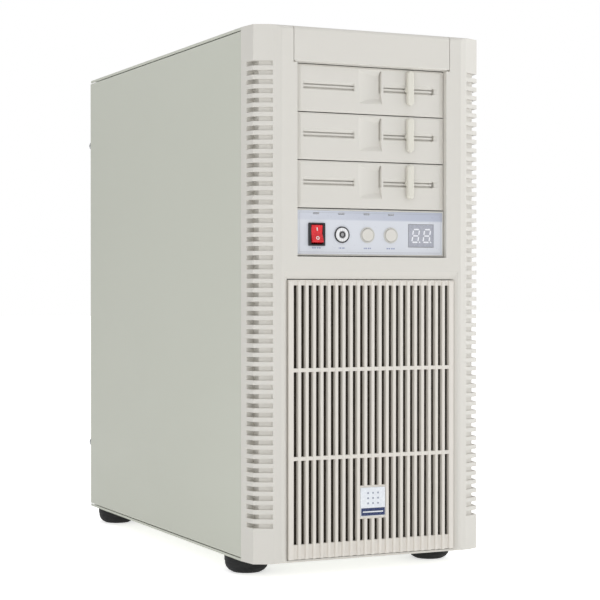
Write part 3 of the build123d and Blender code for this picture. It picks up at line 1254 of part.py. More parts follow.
def write_power_supply():
    fan_housing = psu_fan_place() * fan_frame(FAN_SIZE, PSU_FAN_DEPTH, 57.0)
    save("psu_case", psu_case(), fan_housing, *psu_modular_sockets().solids())
    save("psu_board", psu_board())
    save("psu_fan_guard", psu_fan_guard())
    bridge = block(SWITCH_X + 6, INLET_X - 14, PSU_Y[1], PSU_Y[1] + 1.8, INLET_Z - 10.5, INLET_Z + 10.5)
    save("power_inlet", power_inlet() + [psu_switch_frame(), bridge])
    save("psu_switch", psu_switch())


def write_electronics():
    save("motherboard", motherboard())
    save("board_sockets", *board_sockets())
    save("board_heatsinks", *board_heatsinks())
    save("screws", *rear_screws(), *bracket_screws(), *standoffs())
    save("io_shield", io_shield())
    save("io_ports", *io_ports())
    save("cpu_heatsink", cpu_heatsink())
    save("memory_modules", *memory_modules())
    save("expansion_card", expansion_card(), card_cooler())
    save("slot_covers", *slot_covers())
    save("drive_tray", drive_tray())
    save("hard_drive", hard_drive())


os.makedirs("parts", exist_ok=True)
write_front()
write_controls()
write_frame()
write_fans()
write_power_supply()
write_electronics()
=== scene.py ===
import math

import bmesh
import bpy
from mathutils import Matrix, Vector


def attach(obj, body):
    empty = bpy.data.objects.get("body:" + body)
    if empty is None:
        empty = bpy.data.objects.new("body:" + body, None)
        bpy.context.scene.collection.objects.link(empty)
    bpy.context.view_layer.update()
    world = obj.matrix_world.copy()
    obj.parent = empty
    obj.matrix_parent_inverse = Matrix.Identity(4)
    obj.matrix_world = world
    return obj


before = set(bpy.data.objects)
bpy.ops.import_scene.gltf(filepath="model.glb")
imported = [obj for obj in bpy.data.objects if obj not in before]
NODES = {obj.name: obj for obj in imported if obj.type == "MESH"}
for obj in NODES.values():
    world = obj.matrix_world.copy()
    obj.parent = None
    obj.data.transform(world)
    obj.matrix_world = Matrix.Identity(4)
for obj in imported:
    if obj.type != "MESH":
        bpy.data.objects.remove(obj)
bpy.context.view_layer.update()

MM = 0.001

# The drawing's own axes, in millimetres, against the row frame in metres
MID_Y = 231.9
FOOT = 15.5


def place(x, y, z):
    """A point of the drawing, in millimetres, as a point of the row frame."""
    return Vector((x, y - MID_Y, z + FOOT)) * MM


# Camera
LENS_MM = 101.3
SENSOR_MM = 36.0
CAMERA_SPOT = (-0.6994, -1.5730, 0.2553)
CAMERA_YAW = math.radians(25.05)
CAMERA_PITCH = math.radians(-0.35)

# Strength of the sky at the horizon and overhead, of the sun, and of the floor's own light
AMBIENT = 0.26
OVERHEAD = 0.82
SUN = 0.25
FLOOR_GLOW = 0.3
FLOOR_SEEN = 0.62
FLOOR_HALF = 14.0
FLOOR_DROP = 0.0002

# Soft boxes: name, place, target, size and power
SOFT_BOXES = (
    ("key", (0.9, -2.7, 1.2), (0, 0, 0.25), (1.6, 1.6), 4.5),
    ("left", (-1.2, -1.45, 0.55), (-0.1, -0.15, 0.25), (0.8, 1.2), 5.2),
    ("right", (2.3, -0.85, 0.6), (0, -0.1, 0.25), (1.4, 1.4), 13.5),
    ("back", (-0.5, 2.8, 1.6), (0, 0, 0.25), (2.2, 1.6), 9),
)

# The printed label: its middle, half sizes, the foot of its band, and its outline
LABEL_BAND_Z = place(0, 0, 302.2).z
LABEL_HALF = 0.0730
LABEL_MID_Z = place(0, 0, 290.65).z
LABEL_TALL = 0.01925
LABEL_INSET = 0.0016
LABEL_LINE = 0.00032

# Plain bars printed under the controls: middle and half width of each
MARK_Z = place(0, 0, 276.8).z
MARK_HALF = 0.0006
MARKS = ((-0.0546, 0.0046), (-0.0295, 0.0030), (-0.0039, 0.0036), (0.0197, 0.0042))

# Depths and heights that part one printed colour from the next, and the radii where the lock's dark ring meets its
# disc painted near white as a painted reflection
DIGIT_Y = place(0, 4.45, 0).y
BADGE_BAND_Y = place(0, 0.7, 0).y
BADGE_BAND_TOP = place(0, 0, 44.6).z
BADGE_STUD_Y = place(0, 0.65, 0).y
LOCK = place(-29.5, 0, 288.7)
LOCK_RING = (0.00615, 0.0063)
BRACKET_Y = place(0, 453.6, 0).y

# Places on the drawing, in millimetres
ROCKER = (-54.6, 6.9, 288.7)
ROCKER_TILT = math.radians(-10.0)
ROCKER_FACE = -5.5
BOARD_FACE = 88.9
JACK_FACE = 456.9
RING_STEPS = 40


# ------------------------------------------------------------------ camera, light

def make_camera():
    camera = bpy.data.objects.new("camera", bpy.data.cameras.new("camera"))
    bpy.context.scene.collection.objects.link(camera)
    camera.data.sensor_width = SENSOR_MM
    camera.data.lens = LENS_MM
    camera.data.clip_start = 0.05
    level = math.cos(CAMERA_PITCH)
    ahead = Vector((math.sin(CAMERA_YAW) * level, math.cos(CAMERA_YAW) * level, math.sin(CAMERA_PITCH)))
    camera.location = CAMERA_SPOT
    camera.rotation_mode = "QUATERNION"
    camera.rotation_quaternion = ahead.to_track_quat("-Z", "Y")
    bpy.context.scene.camera = camera


def area_light(name, spot, target, size, power):
    data = bpy.data.lights.new(name, "AREA")
    data.shape = "RECTANGLE"
    data.size, data.size_y = size
    data.energy = power
    light = bpy.data.objects.new(name, data)
    light.location = spot
    light.rotation_mode = "QUATERNION"
    light.rotation_quaternion = (Vector(target) - Vector(spot)).to_track_quat("-Z", "Y")
    bpy.context.scene.collection.objects.link(light)


def make_studio():
    """A white surround with a graded sky for the light, a soft sun and four soft boxes."""
    scene = bpy.context.scene
    scene.view_settings.view_transform = "Standard"
    scene.view_settings.look = "None"
    world = bpy.data.worlds.new("studio")
    scene.world = world
    world.use_nodes = True
    nodes, links = world.node_tree.nodes, world.node_tree.links
    nodes.clear()
    output = nodes.new("ShaderNodeOutputWorld")
    seen = nodes.new("ShaderNodeBackground")
    seen.inputs["Color"].default_value = (1, 1, 1, 1)
    seen.inputs["Strength"].default_value = 1.0
    lit = nodes.new("ShaderNodeBackground")
    lit.inputs["Color"].default_value = (0.98, 0.99, 1.0, 1)
    towards = nodes.new("ShaderNodeTexCoord")
    split = nodes.new("ShaderNodeSeparateXYZ")
    height = nodes.new("ShaderNodeMapRange")
    height.inputs["From Min"].default_value = 0.0
    height.inputs["From Max"].default_value = 1.0
    height.inputs["To Min"].default_value = AMBIENT
    height.inputs["To Max"].default_value = OVERHEAD
    links.new(towards.outputs["Generated"], split.inputs[0])
    links.new(split.outputs["Z"], height.inputs["Value"])
    links.new(height.outputs[0], lit.inputs["Strength"])
    ray = nodes.new("ShaderNodeLightPath")
    mix = nodes.new("ShaderNodeMixShader")
    links.new(ray.outputs["Is Camera Ray"], mix.inputs[0])
    links.new(lit.outputs[0], mix.inputs[1])
    links.new(seen.outputs[0], mix.inputs[2])
    links.new(mix.outputs[0], output.inputs["Surface"])

    sun = bpy.data.objects.new("sun", bpy.data.lights.new("sun", "SUN"))
    sun.data.energy = SUN
    sun.data.angle = math.radians(70)
    sun.rotation_mode = "QUATERNION"
    sun.rotation_quaternion = Vector((-0.25, 0.45, -1.0)).to_track_quat("-Z", "Y")
    scene.collection.objects.link(sun)
    for light in SOFT_BOXES:
        area_light(*light)


def make_floor():
    """A pale floor that also lights the object a little from below."""
    corners = [(x * FLOOR_HALF, y * FLOOR_HALF, 0) for x, y in ((-1, -1), (1, -1), (1, 1), (-1, 1))]
    mesh = bpy.data.meshes.new("floor")
    mesh.from_pydata(corners, [], [(0, 1, 2, 3)])
    floor = bpy.data.objects.new("floor", mesh)
    floor.location.z = -FLOOR_DROP
    bpy.context.scene.collection.objects.link(floor)
    g = Graph("studio_floor")
    g.set("Roughness", 0.9)
    g.set("Specular IOR Level", 0.1)
    g.feed("Base Color", g.ramp(g.noise(9.0, 3), [(0.3, (0.92, 0.92, 0.92, 1)), (0.7, (0.94, 0.94, 0.94, 1))]))
    g.set("Emission Color", (1, 1, 1, 1))
    seen = g.add("LightPath").outputs["Is Camera Ray"]
    g.feed("Emission Strength", g.span(seen, 0.0, 1.0, FLOOR_GLOW, FLOOR_SEEN))
    mesh.materials.append(g.material)


# --------------------------------------------------------------------- materials

class Graph:
    """One material's nodes."""

    def __init__(self, name):
        self.material = bpy.data.materials.new(name)
        self.material.use_nodes = True
        self.nodes = self.material.node_tree.nodes
        self.links = self.material.node_tree.links
        self.nodes.clear()
        output = self.nodes.new("ShaderNodeOutputMaterial")
        self.bsdf = self.nodes.new("ShaderNodeBsdfPrincipled")
        self.links.new(self.bsdf.outputs[0], output.inputs["Surface"])
        self.where = self.nodes.new("ShaderNodeTexCoord").outputs["Object"]

    def add(self, kind, inputs=(), **settings):
        node = self.nodes.new("ShaderNode" + kind)
        for key, value in settings.items():
            setattr(node, key, value)
        for key, value in dict(inputs).items():
            if isinstance(value, bpy.types.NodeSocket):
                self.links.new(value, node.inputs[key])
            else:
                node.inputs[key].default_value = value
        return node

    def set(self, name, value):
        self.bsdf.inputs[name].default_value = value

    def feed(self, name, output):
        self.links.new(output, self.bsdf.inputs[name])

    def stretch(self, scale):
        """The piece's own coordinates, scaled by axis."""
        return self.add("Mapping", {"Vector": self.where, "Scale": scale}).outputs[0]

    def noise(self, scale, detail=4.0, rough=0.55, where=None, distortion=0.0):
        inputs = {"Vector": where or self.where, "Scale": scale, "Detail": detail, "Roughness": rough,
                  "Distortion": distortion}
        return self.add("TexNoise", inputs).outputs["Fac"]

    def cells(self, scale):
        return self.add("TexVoronoi", {"Vector": self.where, "Scale": scale}).outputs["Distance"]

    def math(self, operation, a, b=0.0, clamp=False):
        return self.add("Math", {0: a, 1: b}, operation=operation, use_clamp=clamp).outputs[0]

    def span(self, value, low, high, to_low=0.0, to_high=1.0):
        node = self.add("MapRange", {"Value": value, "From Min": low, "From Max": high, "To Min": to_low,
                                     "To Max": to_high})
        return node.outputs[0]

    def ramp(self, value, stops):
        node = self.nodes.new("ShaderNodeValToRGB")
        self.links.new(value, node.inputs[0])
        line = node.color_ramp.elements
        while len(line) < len(stops):
            line.new(0.5)
        for item, (spot, colour) in zip(line, stops):
            item.position = spot
            item.color = colour
        return node.outputs["Color"]

    def mix(self, share, a, b):
        return self.add("Mix", {0: share, 6: a, 7: b}, data_type="RGBA").outputs[2]

    def axis(self, index):
        """One coordinate of the piece, in metres."""
        return self.add("SeparateXYZ", {0: self.where}).outputs[index]

    def between(self, value, low, high):
        """1 where value lies between low and high."""
        above = self.math("GREATER_THAN", value, low)
        below = self.math("LESS_THAN", value, high)
        return self.math("MULTIPLY", above, below)

    def edges(self, radius):
        """About 1 along outer edges, 0 on flat faces."""
        edge_wear_and_highlight = self.add("Bevel", {"Radius": radius}, samples=4).outputs[0]
        flat = self.add("NewGeometry").outputs["Normal"]
        dot = self.add("VectorMath", {0: edge_wear_and_highlight, 1: flat}, operation="DOT_PRODUCT").outputs["Value"]
        return self.math("SUBTRACT", 1.0, dot, clamp=True)

    def bump(self, height, distance, strength=1.0, below=None):
        inputs = {"Height": height, "Distance": distance, "Strength": strength}
        if below is not None:
            inputs["Normal"] = below
        return self.add("Bump", inputs).outputs[0]


def rgb(r, g, b):
    """A display colour, 0 to 255, as linear light."""
    def linear(value):
        value = value / 255
        return value / 12.92 if value <= 0.04045 else ((value + 0.055) / 1.055) ** 2.4
    return (linear(r), linear(g), linear(b), 1.0)


def shade(colour, factor):
    return (colour[0] * factor, colour[1] * factor, colour[2] * factor, 1.0)


def moulded_plastic(name, colour, roughness=0.42, grain=0.000018, edge_wear_and_highlight=1.04, dirt=0.9):
    """Injection-moulded plastic: a fine sparked grain, faint flow marks, and slightly polished edges whose lighter
    colour is partly wear and partly a painted highlight.
    """
    g = Graph(name)
    flow = g.noise(5.0, 3.0, 0.5, g.stretch((1.0, 1.0, 0.35)))
    tone = g.ramp(flow, [(0.25, shade(colour, 0.975)), (0.75, shade(colour, 1.015))])
    speck = g.span(g.noise(700.0, 2.0), 0.62, 0.75)
    tone = g.mix(g.math("MULTIPLY", speck, 0.25), tone, shade(colour, dirt))
    edge = g.edges(0.0006)
    # Edges painted lighter by the edge factor: partly rubbed wear, partly a painted highlight.
    tone = g.mix(g.math("MULTIPLY", edge, 0.6, clamp=True), tone, shade(colour, edge_wear_and_highlight))
    g.feed("Base Color", tone)
    rough = g.span(g.noise(40.0, 4.0), 0.3, 0.7, roughness - 0.05, roughness + 0.07)
    g.feed("Roughness", g.math("SUBTRACT", rough, g.math("MULTIPLY", edge, 0.08), clamp=True))
    fine = g.noise(2600.0, 2.0, 0.6)
    broad = g.noise(160.0, 2.0)
    normal = g.bump(fine, grain, 1.0)
    g.feed("Normal", g.bump(broad, 0.00001, 0.5, normal))
    g.set("Specular IOR Level", 0.45)
    return g.material


def powder_paint(name, colour):
    """Powder-coated sheet: a light orange peel, faint handling marks, and folds painted lighter, partly thin paint
    and partly a painted highlight.
    """
    g = Graph(name)
    broad = g.noise(3.0, 3.0, 0.5)
    tone = g.ramp(broad, [(0.3, shade(colour, 0.985)), (0.7, shade(colour, 1.01))])
    edge = g.edges(0.0009)
    # Folds painted lighter: partly thin paint, partly a painted highlight.
    tone = g.mix(g.math("MULTIPLY", edge, 0.7, clamp=True), tone, shade(colour, 1.06))
    g.feed("Base Color", tone)
    smear = g.noise(14.0, 5.0, 0.6, g.stretch((1.0, 0.5, 1.6)), 0.4)
    g.feed("Roughness", g.span(smear, 0.3, 0.75, 0.46, 0.56))
    peel = g.noise(620.0, 3.0, 0.55)
    fine = g.noise(2400.0, 1.5)
    normal = g.bump(peel, 0.00003, 0.8)
    g.feed("Normal", g.bump(fine, 0.00001, 0.6, normal))
    g.set("Specular IOR Level", 0.4)
    return g.material


def zinc_sheet(name, colour):
    """Zinc-coated steel with its frosty crystals and fine rolling marks."""
    g = Graph(name)
    crystal = g.add("TexVoronoi", {"Vector": g.where, "Scale": 170.0, "Randomness": 1.0})
    value = g.add("SeparateColor", {0: crystal.outputs["Color"]}).outputs[0]
    frost = g.noise(420.0, 3.0)
    tone = g.ramp(value, [(0.0, shade(colour, 0.86)), (1.0, shade(colour, 1.12))])
    g.feed("Base Color", g.mix(0.25, tone, g.ramp(frost, [(0.3, shade(colour, 0.85)), (0.7, shade(colour, 1.1))])))
    rough = g.span(value, 0.0, 1.0, 0.33, 0.51)
    g.feed("Roughness", g.math("ADD", rough, g.span(frost, 0.3, 0.7, -0.04, 0.04), clamp=True))
    g.set("Metallic", 1.0)
    roll = g.noise(900.0, 2.0, 0.5, g.stretch((1.0, 0.08, 1.0)))
    normal = g.bump(roll, 0.00001, 0.6)
    g.feed("Normal", g.bump(value, 0.00001, 0.4, normal))
    return g.material


def bright_metal(name, colour, roughness):
    """Machined or plated metal with fine directional marks."""
    g = Graph(name)
    marks = g.noise(1400.0, 3.0, 0.6, g.stretch((1.0, 1.0, 0.03)))
    g.feed("Base Color", g.ramp(marks, [(0.3, shade(colour, 0.9)), (0.7, shade(colour, 1.05))]))
    g.feed("Roughness", g.span(marks, 0.3, 0.7, roughness - 0.05, roughness + 0.08))
    g.set("Metallic", 1.0)
    g.feed("Normal", g.bump(marks, 0.000006, 0.8))
    return g.material


def rubber(name, colour):
    g = Graph(name)
    dust = g.noise(60.0, 5.0, 0.6)
    g.feed("Base Color", g.ramp(dust, [(0.35, colour), (0.8, shade(colour, 2.0))]))
    g.feed("Roughness", g.span(dust, 0.3, 0.7, 0.55, 0.8))
    g.feed("Normal", g.bump(g.noise(1500.0, 3.0), 0.00003, 1.0))
    return g.material


def circuit_board(name, bracket_y=None):
    """Solder mask over copper: fine tracks and pads, and plain steel behind bracket_y."""
    colour = (0.012, 0.075, 0.035, 1)
    g = Graph(name)
    turned = g.add("Mapping", {"Vector": g.where, "Rotation": (0, math.pi / 2, 0)}).outputs[0]
    track = g.add("TexBrick", {"Vector": turned, "Scale": 210.0, "Mortar Size": 0.06, "Mortar Smooth": 0.2,
                               "Brick Width": 0.5, "Row Height": 0.3})
    line = track.outputs["Fac"]
    field = g.span(g.noise(18.0, 2.0), 0.48, 0.52)
    line = g.math("MULTIPLY", line, field)
    tone = g.mix(line, colour, shade(colour, 2.0))
    pad = g.math("LESS_THAN", g.cells(230.0), 0.11)
    tone = g.mix(g.math("MULTIPLY", pad, 0.8), tone, (0.55, 0.5, 0.38, 1))
    if bracket_y is not None:
        steel = g.math("GREATER_THAN", g.axis(1), bracket_y)
        rolled = g.noise(300.0, 3.0, 0.5, g.stretch((0.1, 1.0, 1.0)))
        tone = g.mix(steel, tone, g.ramp(rolled, [(0.3, (0.46, 0.47, 0.48, 1)), (0.7, (0.56, 0.57, 0.58, 1))]))
        g.feed("Metallic", steel)
    g.feed("Base Color", tone)
    g.feed("Roughness", g.span(g.noise(90.0), 0.3, 0.7, 0.25, 0.38))
    height = g.math("ADD", line, g.math("MULTIPLY", pad, 1.5))
    g.feed("Normal", g.bump(height, 0.00004, 0.7))
    g.set("Coat Weight", 0.3)
    g.set("Coat Roughness", 0.15)
    return g.material


def printed_film(name):
    """The control label: a pale film, a blue-grey band along its top and a fine printed outline."""
    g = Graph(name)
    x, z = g.axis(0), g.axis(2)
    base = rgb(216, 219, 226)
    flow = g.noise(12.0, 2.0)
    tone = g.ramp(flow, [(0.3, shade(base, 0.98)), (0.7, shade(base, 1.015))])
    band = g.span(z, LABEL_BAND_Z - 0.0012, LABEL_BAND_Z + 0.0004)
    depth = g.span(x, -0.072, 0.05, 0.35, 1.0)
    tone = g.mix(g.math("MULTIPLY", band, depth), tone, rgb(184, 189, 204))
    side = g.math("ABSOLUTE", x)
    rise = g.math("ABSOLUTE", g.math("SUBTRACT", z, LABEL_MID_Z))
    wide, high = LABEL_HALF - LABEL_INSET, LABEL_TALL - LABEL_INSET
    edge_x = g.between(side, wide - LABEL_LINE, wide)
    edge_z = g.between(rise, high - LABEL_LINE, high)
    within = g.math("LESS_THAN", side, wide)
    tall = g.math("LESS_THAN", rise, high)
    outline = g.math("MAXIMUM", g.math("MULTIPLY", edge_x, tall), g.math("MULTIPLY", edge_z, within))
    tone = g.mix(g.math("MULTIPLY", outline, 0.55), tone, rgb(150, 152, 160))
    row = g.between(z, MARK_Z - MARK_HALF, MARK_Z + MARK_HALF)
    for centre, half in MARKS:
        near = g.math("ABSOLUTE", g.math("SUBTRACT", x, centre))
        bar = g.math("MULTIPLY", g.math("LESS_THAN", near, half), row)
        step = g.math("FRACT", g.math("MULTIPLY", near, 480.0))
        bar = g.math("MULTIPLY", bar, g.math("GREATER_THAN", step, 0.22))
        tone = g.mix(g.math("MULTIPLY", bar, 0.8), tone, rgb(128, 138, 176))
    g.feed("Base Color", tone)
    g.feed("Roughness", g.span(g.noise(220.0, 3.0), 0.3, 0.7, 0.26, 0.36))
    g.feed("Normal", g.bump(g.noise(1200.0, 2.0), 0.000008, 0.6))
    g.set("Coat Weight", 0.25)
    g.set("Coat Roughness", 0.12)
    return g.material


def figure_display(name):
    """A pale grey reflector with white figure bars standing in front of it."""
    g = Graph(name)
    y = g.axis(1)
    figure = g.between(y, DIGIT_Y - 0.00008, DIGIT_Y + 0.00008)
    speckle = g.noise(900.0, 3.0, 0.7)
    ground = g.ramp(speckle, [(0.3, rgb(158, 160, 170)), (0.7, rgb(186, 188, 198))])
    g.feed("Base Color", g.mix(figure, ground, rgb(240, 241, 246)))
    g.feed("Roughness", g.span(g.noise(300.0), 0.3, 0.7, 0.3, 0.42))
    g.feed("Normal", g.bump(speckle, 0.00002, 0.6))
    return g.material


def rocker_red(name):
    """Translucent red rocker."""
    g = Graph(name)
    flow = g.noise(90.0, 2.0)
    red = g.ramp(flow, [(0.3, (0.55, 0.008, 0.014, 1)), (0.7, (0.78, 0.02, 0.03, 1))])
    g.feed("Base Color", red)
    g.feed("Roughness", g.span(g.noise(500.0), 0.3, 0.7, 0.2, 0.32))
    g.set("Subsurface Weight", 0.15)
    g.set("Subsurface Radius", (0.004, 0.0006, 0.0004))
    g.set("Subsurface Scale", 0.5)
    g.feed("Normal", g.bump(g.noise(900.0, 2.0), 0.000008, 0.6))
    return g.material


def badge_face(name):
    """White plate, navy foot with a pale rule, grey studs."""
    g = Graph(name)
    y, z = g.axis(1), g.axis(2)
    grain = g.noise(500.0, 2.0)
    white = g.ramp(grain, [(0.3, rgb(226, 230, 236)), (0.7, rgb(234, 238, 243))])
    foot = g.math("LESS_THAN", y, BADGE_BAND_Y + 0.00005)
    low = g.math("LESS_THAN", z, BADGE_BAND_TOP)
    tone = g.mix(g.math("MULTIPLY", foot, low), white, rgb(22, 42, 92))
    stud = g.math("LESS_THAN", y, BADGE_STUD_Y + 0.00008)
    high = g.math("GREATER_THAN", z, BADGE_BAND_TOP)
    tone = g.mix(g.math("MULTIPLY", stud, high), tone, rgb(150, 158, 172))
    g.feed("Base Color", tone)
    g.feed("Roughness", g.span(grain, 0.3, 0.7, 0.22, 0.3))
    g.feed("Normal", g.bump(grain, 0.00001, 0.6))
    g.set("Coat Weight", 0.4)
    g.set("Coat Roughness", 0.1)
    return g.material


def lock_metal(name):
    """The lock's face: a dark outer ring round a disc painted near white, a painted reflection of bright satin
    metal.
    """
    g = Graph(name)
    x = g.math("SUBTRACT", g.axis(0), LOCK.x)
    z = g.math("SUBTRACT", g.axis(2), LOCK.z)
    reach = g.math("SQRT", g.math("ADD", g.math("MULTIPLY", x, x), g.math("MULTIPLY", z, z)))
    ring = g.span(reach, *LOCK_RING)
    satin = g.noise(900.0, 2.0, 0.5, g.stretch((1.0, 1.0, 0.1)))
    # Near-white disc colour with little metallic: a painted reflection of bright metal.
    disc = g.ramp(satin, [(0.3, rgb(232, 233, 234)), (0.7, rgb(246, 246, 247))])
    g.feed("Base Color", g.mix(ring, disc, rgb(46, 46, 50)))
    g.feed("Metallic", g.math("SUBTRACT", 0.25, g.math("MULTIPLY", ring, 0.2)))
    g.feed("Roughness", g.span(satin, 0.3, 0.7, 0.24, 0.34))
    g.feed("Normal", g.bump(satin, 0.000006, 0.7))
    return g.material


def dark_mesh(name):
    """Woven filter cloth seen behind the grille."""
    g = Graph(name)
    weave = g.cells(900.0)
    g.feed("Base Color", g.ramp(weave, [(0.1, (0.018, 0.013, 0.008, 1)), (0.6, (0.06, 0.045, 0.031, 1))]))
    g.feed("Roughness", g.span(g.noise(120.0), 0.3, 0.7, 0.75, 0.95))
    g.feed("Normal", g.bump(weave, 0.0002, 1.0))
    return g.material


def make_materials():
    return {
        # Edge factors above 1 paint edges lighter, partly as wear and partly as a painted highlight.
        "abs": moulded_plastic("beige_moulding", rgb(217, 214, 207), edge_wear_and_highlight=1.14),
        "bars": moulded_plastic("beige_bars", rgb(226, 221, 213), edge_wear_and_highlight=1.14),
        "paint": powder_paint("beige_powder_paint", rgb(203, 205, 193)),
        "lever": moulded_plastic("cream_moulding", rgb(221, 218, 207), 0.36),
        "zinc": zinc_sheet("zinc_coated_steel", (0.52, 0.53, 0.54, 1)),
        "black": moulded_plastic("black_moulding", rgb(38, 38, 41), 0.4, dirt=1.6, edge_wear_and_highlight=1.8),
        "board": circuit_board("solder_mask"),
        "card": circuit_board("card_and_bracket", BRACKET_Y),
        "foot": rubber("black_rubber", (0.006, 0.006, 0.0065, 1)),
        "bright": bright_metal("machined_aluminium", (0.78, 0.78, 0.79, 1), 0.28),
        "film": printed_film("label_film"),
        "figures": figure_display("display_face"),
        "red": rocker_red("red_rocker"),
        "badge": badge_face("badge_face"),
        "mesh": dark_mesh("filter_cloth"),
        "window": moulded_plastic("smoked_window", rgb(196, 198, 206), 0.25, grain=0.000004),
        "plate": moulded_plastic("grey_beige_moulding", rgb(206, 205, 200)),
        "lock": lock_metal("lock_face"),
        "plug": bright_metal("lock_plug", (0.42, 0.42, 0.43, 1), 0.3),
        "white_print": moulded_plastic("white_print", rgb(238, 232, 228), 0.4, grain=0.000004),
        "jacks": [moulded_plastic("jack_colour_" + str(k + 1), rgb(*colour), 0.4) for k, colour in enumerate((
            (205, 120, 140), (110, 170, 90), (90, 130, 190), (60, 60, 62), (200, 140, 60), (150, 150, 154)))],
        "slate": moulded_plastic("slate_moulding", rgb(122, 124, 130), 0.38, dirt=0.8),
    }


def paint(material, *names):
    for name in names:
        node = NODES[name]
        if not node.data.materials:
            node.data.materials.append(material)
        for index in range(len(node.data.materials)):
            node.data.materials[index] = material


def soften(width, *names):
    """Rounds a CAD node's sharp edges."""
    for name in names:
        node = NODES[name]
        weld = node.modifiers.new("weld", "WELD")
        weld.merge_threshold = 0.000005
        bevel = node.modifiers.new("edge", "BEVEL")
        bevel.width = width
        bevel.segments = 2
        bevel.limit_method = "ANGLE"
        bevel.angle_limit = math.radians(30)
        bevel.harden_normals = True
        bevel.use_clamp_overlap = True


# ---------------------------------------------------------------- added pieces

def new_piece(name, mesh, material, body="chassis"):
    piece = bpy.data.objects.new(name, mesh)
    bpy.context.scene.collection.objects.link(piece)
    mesh.materials.append(material)
    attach(piece, body)


def finished_mesh(name, shape, turn):
    """Takes a shape from the drawing's millimetres to a mesh in the row frame."""
    if turn:
        bmesh.ops.transform(shape, matrix=turn, verts=shape.verts)
    bmesh.ops.transform(shape, matrix=Matrix.Scale(MM, 4) @ Matrix.Translation((0, -MID_Y, FOOT)),
                        verts=shape.verts)
    mesh = bpy.data.meshes.new(name)
    shape.to_mesh(mesh)
    shape.free()
    return mesh


def solid_mesh(name, boxes=(), rods=(), turn=None):
    """Boxes (x0, x1, y0, y1, z0, z1) and rods (centre, axis, radius, length, sides), in millimetres."""
    shape = bmesh.new()
    for x0, x1, y0, y1, z0, z1 in boxes:
        made = bmesh.ops.create_cube(shape, size=1.0)["verts"]
        bmesh.ops.scale(shape, vec=(x1 - x0, y1 - y0, z1 - z0), verts=made)
        bmesh.ops.translate(shape, vec=((x0 + x1) / 2, (y0 + y1) / 2, (z0 + z1) / 2), verts=made)
    for centre, axis, radius, length, sides in rods:
        made = bmesh.ops.create_cone(shape, cap_ends=True, segments=sides, radius1=radius, radius2=radius,
                                     depth=length)["verts"]
        spin = Vector(axis).to_track_quat("Z", "Y").to_matrix()
        bmesh.ops.rotate(shape, cent=(0, 0, 0), matrix=spin, verts=made)
        bmesh.ops.translate(shape, vec=centre, verts=made)
    return finished_mesh(name, shape, turn)


def ring_mesh(name, centre, inner, outer, depth, turn=None):
    """A flat ring facing the front, in millimetres."""
    shape = bmesh.new()
    loops = []
    for radius, y in ((inner, 0.0), (outer, 0.0), (outer, depth), (inner, depth)):
        loop = []
        for step in range(RING_STEPS):
            angle = 2 * math.pi * step / RING_STEPS
            loop.append(shape.verts.new((centre[0] + radius * math.cos(angle), centre[1] + y,
                                         centre[2] + radius * math.sin(angle))))
        loops.append(loop)
    for index in range(4):
        one, two = loops[index], loops[(index + 1) % 4]
        for step in range(RING_STEPS):
            after = (step + 1) % RING_STEPS
            shape.faces.new((one[step], one[after], two[after], two[step]))
    bmesh.ops.recalc_face_normals(shape, faces=shape.faces)
    return finished_mesh(name, shape, turn)


def rocker_marks():
    """The bar and the ring printed white on the rocker's two ends."""
    turn = Matrix.Translation(ROCKER) @ Matrix.Rotation(ROCKER_TILT, 4, "X")
    bar = solid_mesh("rocker_bar", [(-0.45, 0.45, ROCKER_FACE + 0.5, ROCKER_FACE + 0.75, 2.3, 5.3)], turn=turn)
    new_piece("rocker_bar", bar, M["white_print"], "rocker_switch")
    ring = ring_mesh("rocker_ring", (0, ROCKER_FACE + 0.45, -4.2), 0.95, 1.6, 0.25, turn)
    new_piece("rocker_ring", ring, M["white_print"], "rocker_switch")


def board_parts():
    """Capacitors, chips and small parts on the motherboard's face."""
    cans = []
    caps = []
    for y, z in [(404, 318 + 9 * k) for k in range(11)] + [(300 + 11 * k, 168) for k in range(5)] + \
            [(430, 150 + 12 * k) for k in range(6)]:
        cans.append(((BOARD_FACE - 4.0, y, z), (1, 0, 0), 3.1, 8.0, 20))
        caps.append(((BOARD_FACE - 8.1, y, z), (1, 0, 0), 2.6, 0.4, 20))
    new_piece("board_capacitors", solid_mesh("board_capacitors", rods=cans), M["black"])
    new_piece("capacitor_tops", solid_mesh("capacitor_tops", rods=caps), M["bright"])
    chips = [(BOARD_FACE - 1.4, BOARD_FACE + 0.1, y, y + w, z, z + h) for y, z, w, h in
             ((230, 150, 14, 14), (262, 146, 9, 9), (330, 150, 20, 14), (375, 146, 11, 16), (300, 230, 7, 7),
              (238, 188, 8, 12), (400, 180, 12, 12), (355, 285, 9, 9), (300, 300, 6, 10))]
    new_piece("board_chips", solid_mesh("board_chips", boxes=chips), M["black"])
    tiny = []
    for row in range(9):
        for column in range(7):
            y = 226 + 30 * column + 4 * (row % 3)
            z = 142 + 17 * row
            tiny.append((BOARD_FACE - 0.7, BOARD_FACE + 0.1, y, y + 1.6, z, z + 0.9))
            tiny.append((BOARD_FACE - 0.7, BOARD_FACE + 0.1, y + 3.4, y + 4.3, z + 1.5, z + 3.1))
    new_piece("board_small_parts", solid_mesh("board_small_parts", boxes=tiny), M["slate"])


def blank_stickers():
    """Plain labels on the hard drive, the supply and the fans' hubs."""
    boxes = [(-45, 37, 184, 222, 41.6, 41.9), (-70.2, -69.9, 330, 420, 32, 78)]
    new_piece("blank_labels", solid_mesh("blank_labels", boxes=boxes), M["white_print"])
    for name, body, x, y, z in (("lower", "front_fan_rotor_lower", 0, 34.7, 72),
                                ("upper", "front_fan_rotor_upper", 0, 34.7, 196),
                                ("rear", "rear_fan_rotor", -19, 431.4, 378),
                                ("cooler", "cpu_fan_rotor", 12, 263.5, 372)):
        disc = solid_mesh("hub_sticker_" + name, rods=[((x, y, z), (0, 1, 0), 15.0, 0.3, 48)])
        new_piece("hub_sticker_" + name, disc, M["slate"], body)


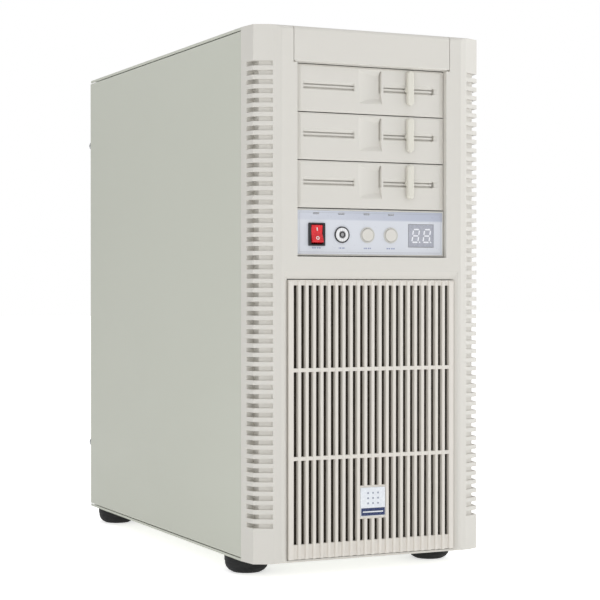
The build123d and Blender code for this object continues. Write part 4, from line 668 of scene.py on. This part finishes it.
def jack_rings():
    """Coloured rings round the six sound jacks."""
    for index, x in enumerate((66.0, 80.0)):
        for row, z in enumerate((290.0, 304.0, 318.0)):
            jack = 3 * index + row
            name = "jack_ring_" + str(jack + 1)
            ring = ring_mesh(name, (x, JACK_FACE, z), 1.95, 3.7, 0.35)
            new_piece(name, ring, M["jacks"][jack])


make_camera()
make_studio()
make_floor()
M = make_materials()

paint(M["abs"], "front_bezel", "bay_cover_1", "bay_cover_2", "bay_cover_3", "top_flap",
      "reset_button", "turbo_button")
paint(M["bars"], "front_grille")
paint(M["lever"], "latch_lever_1", "latch_lever_2", "latch_lever_3")
paint(M["paint"], "left_side_panel", "right_side_panel", "top_panel", "bottom_pan")
paint(M["zinc"], "top_deck", "front_steel_panel", "rear_panel", "motherboard_tray", "bay_cage", "psu_case",
      "io_shield", "io_ports", "slot_covers", "drive_tray", "screws", "psu_fan_guard", "thumb_screws_left",
      "thumb_screws_right")
paint(M["black"], "board_sockets", "front_fan_frames", "front_fan_rotor_lower", "front_fan_rotor_upper",
      "rear_fan_frame", "rear_fan_rotor", "cpu_fan_frame", "cpu_fan_rotor", "psu_fan_rotor", "power_inlet",
      "psu_switch", "rocker_frame", "front_io_module")
paint(M["board"], "motherboard", "control_board", "memory_modules", "psu_board")
paint(M["card"], "expansion_card")
paint(M["bright"], "cpu_heatsink", "board_heatsinks", "hard_drive")
paint(M["lock"], "lock_body")
paint(M["plug"], "lock_cylinder")
paint(M["foot"], "feet")
paint(M["film"], "control_label")
paint(M["figures"], "display_module")
paint(M["red"], "rocker_switch")
paint(M["badge"], "badge")
paint(M["mesh"], "dust_filter")
paint(M["window"], "indicator_windows")
paint(M["plate"], "control_panel_plate")

soften(0.0005, "front_bezel", "top_flap", "bay_cover_1", "bay_cover_2", "bay_cover_3")
soften(0.0003, "control_panel_plate", "front_grille", "rocker_frame", "reset_button", "turbo_button")
soften(0.0006, "left_side_panel", "right_side_panel", "top_panel")
rocker_marks()
board_parts()
blank_stickers()
jack_rings()
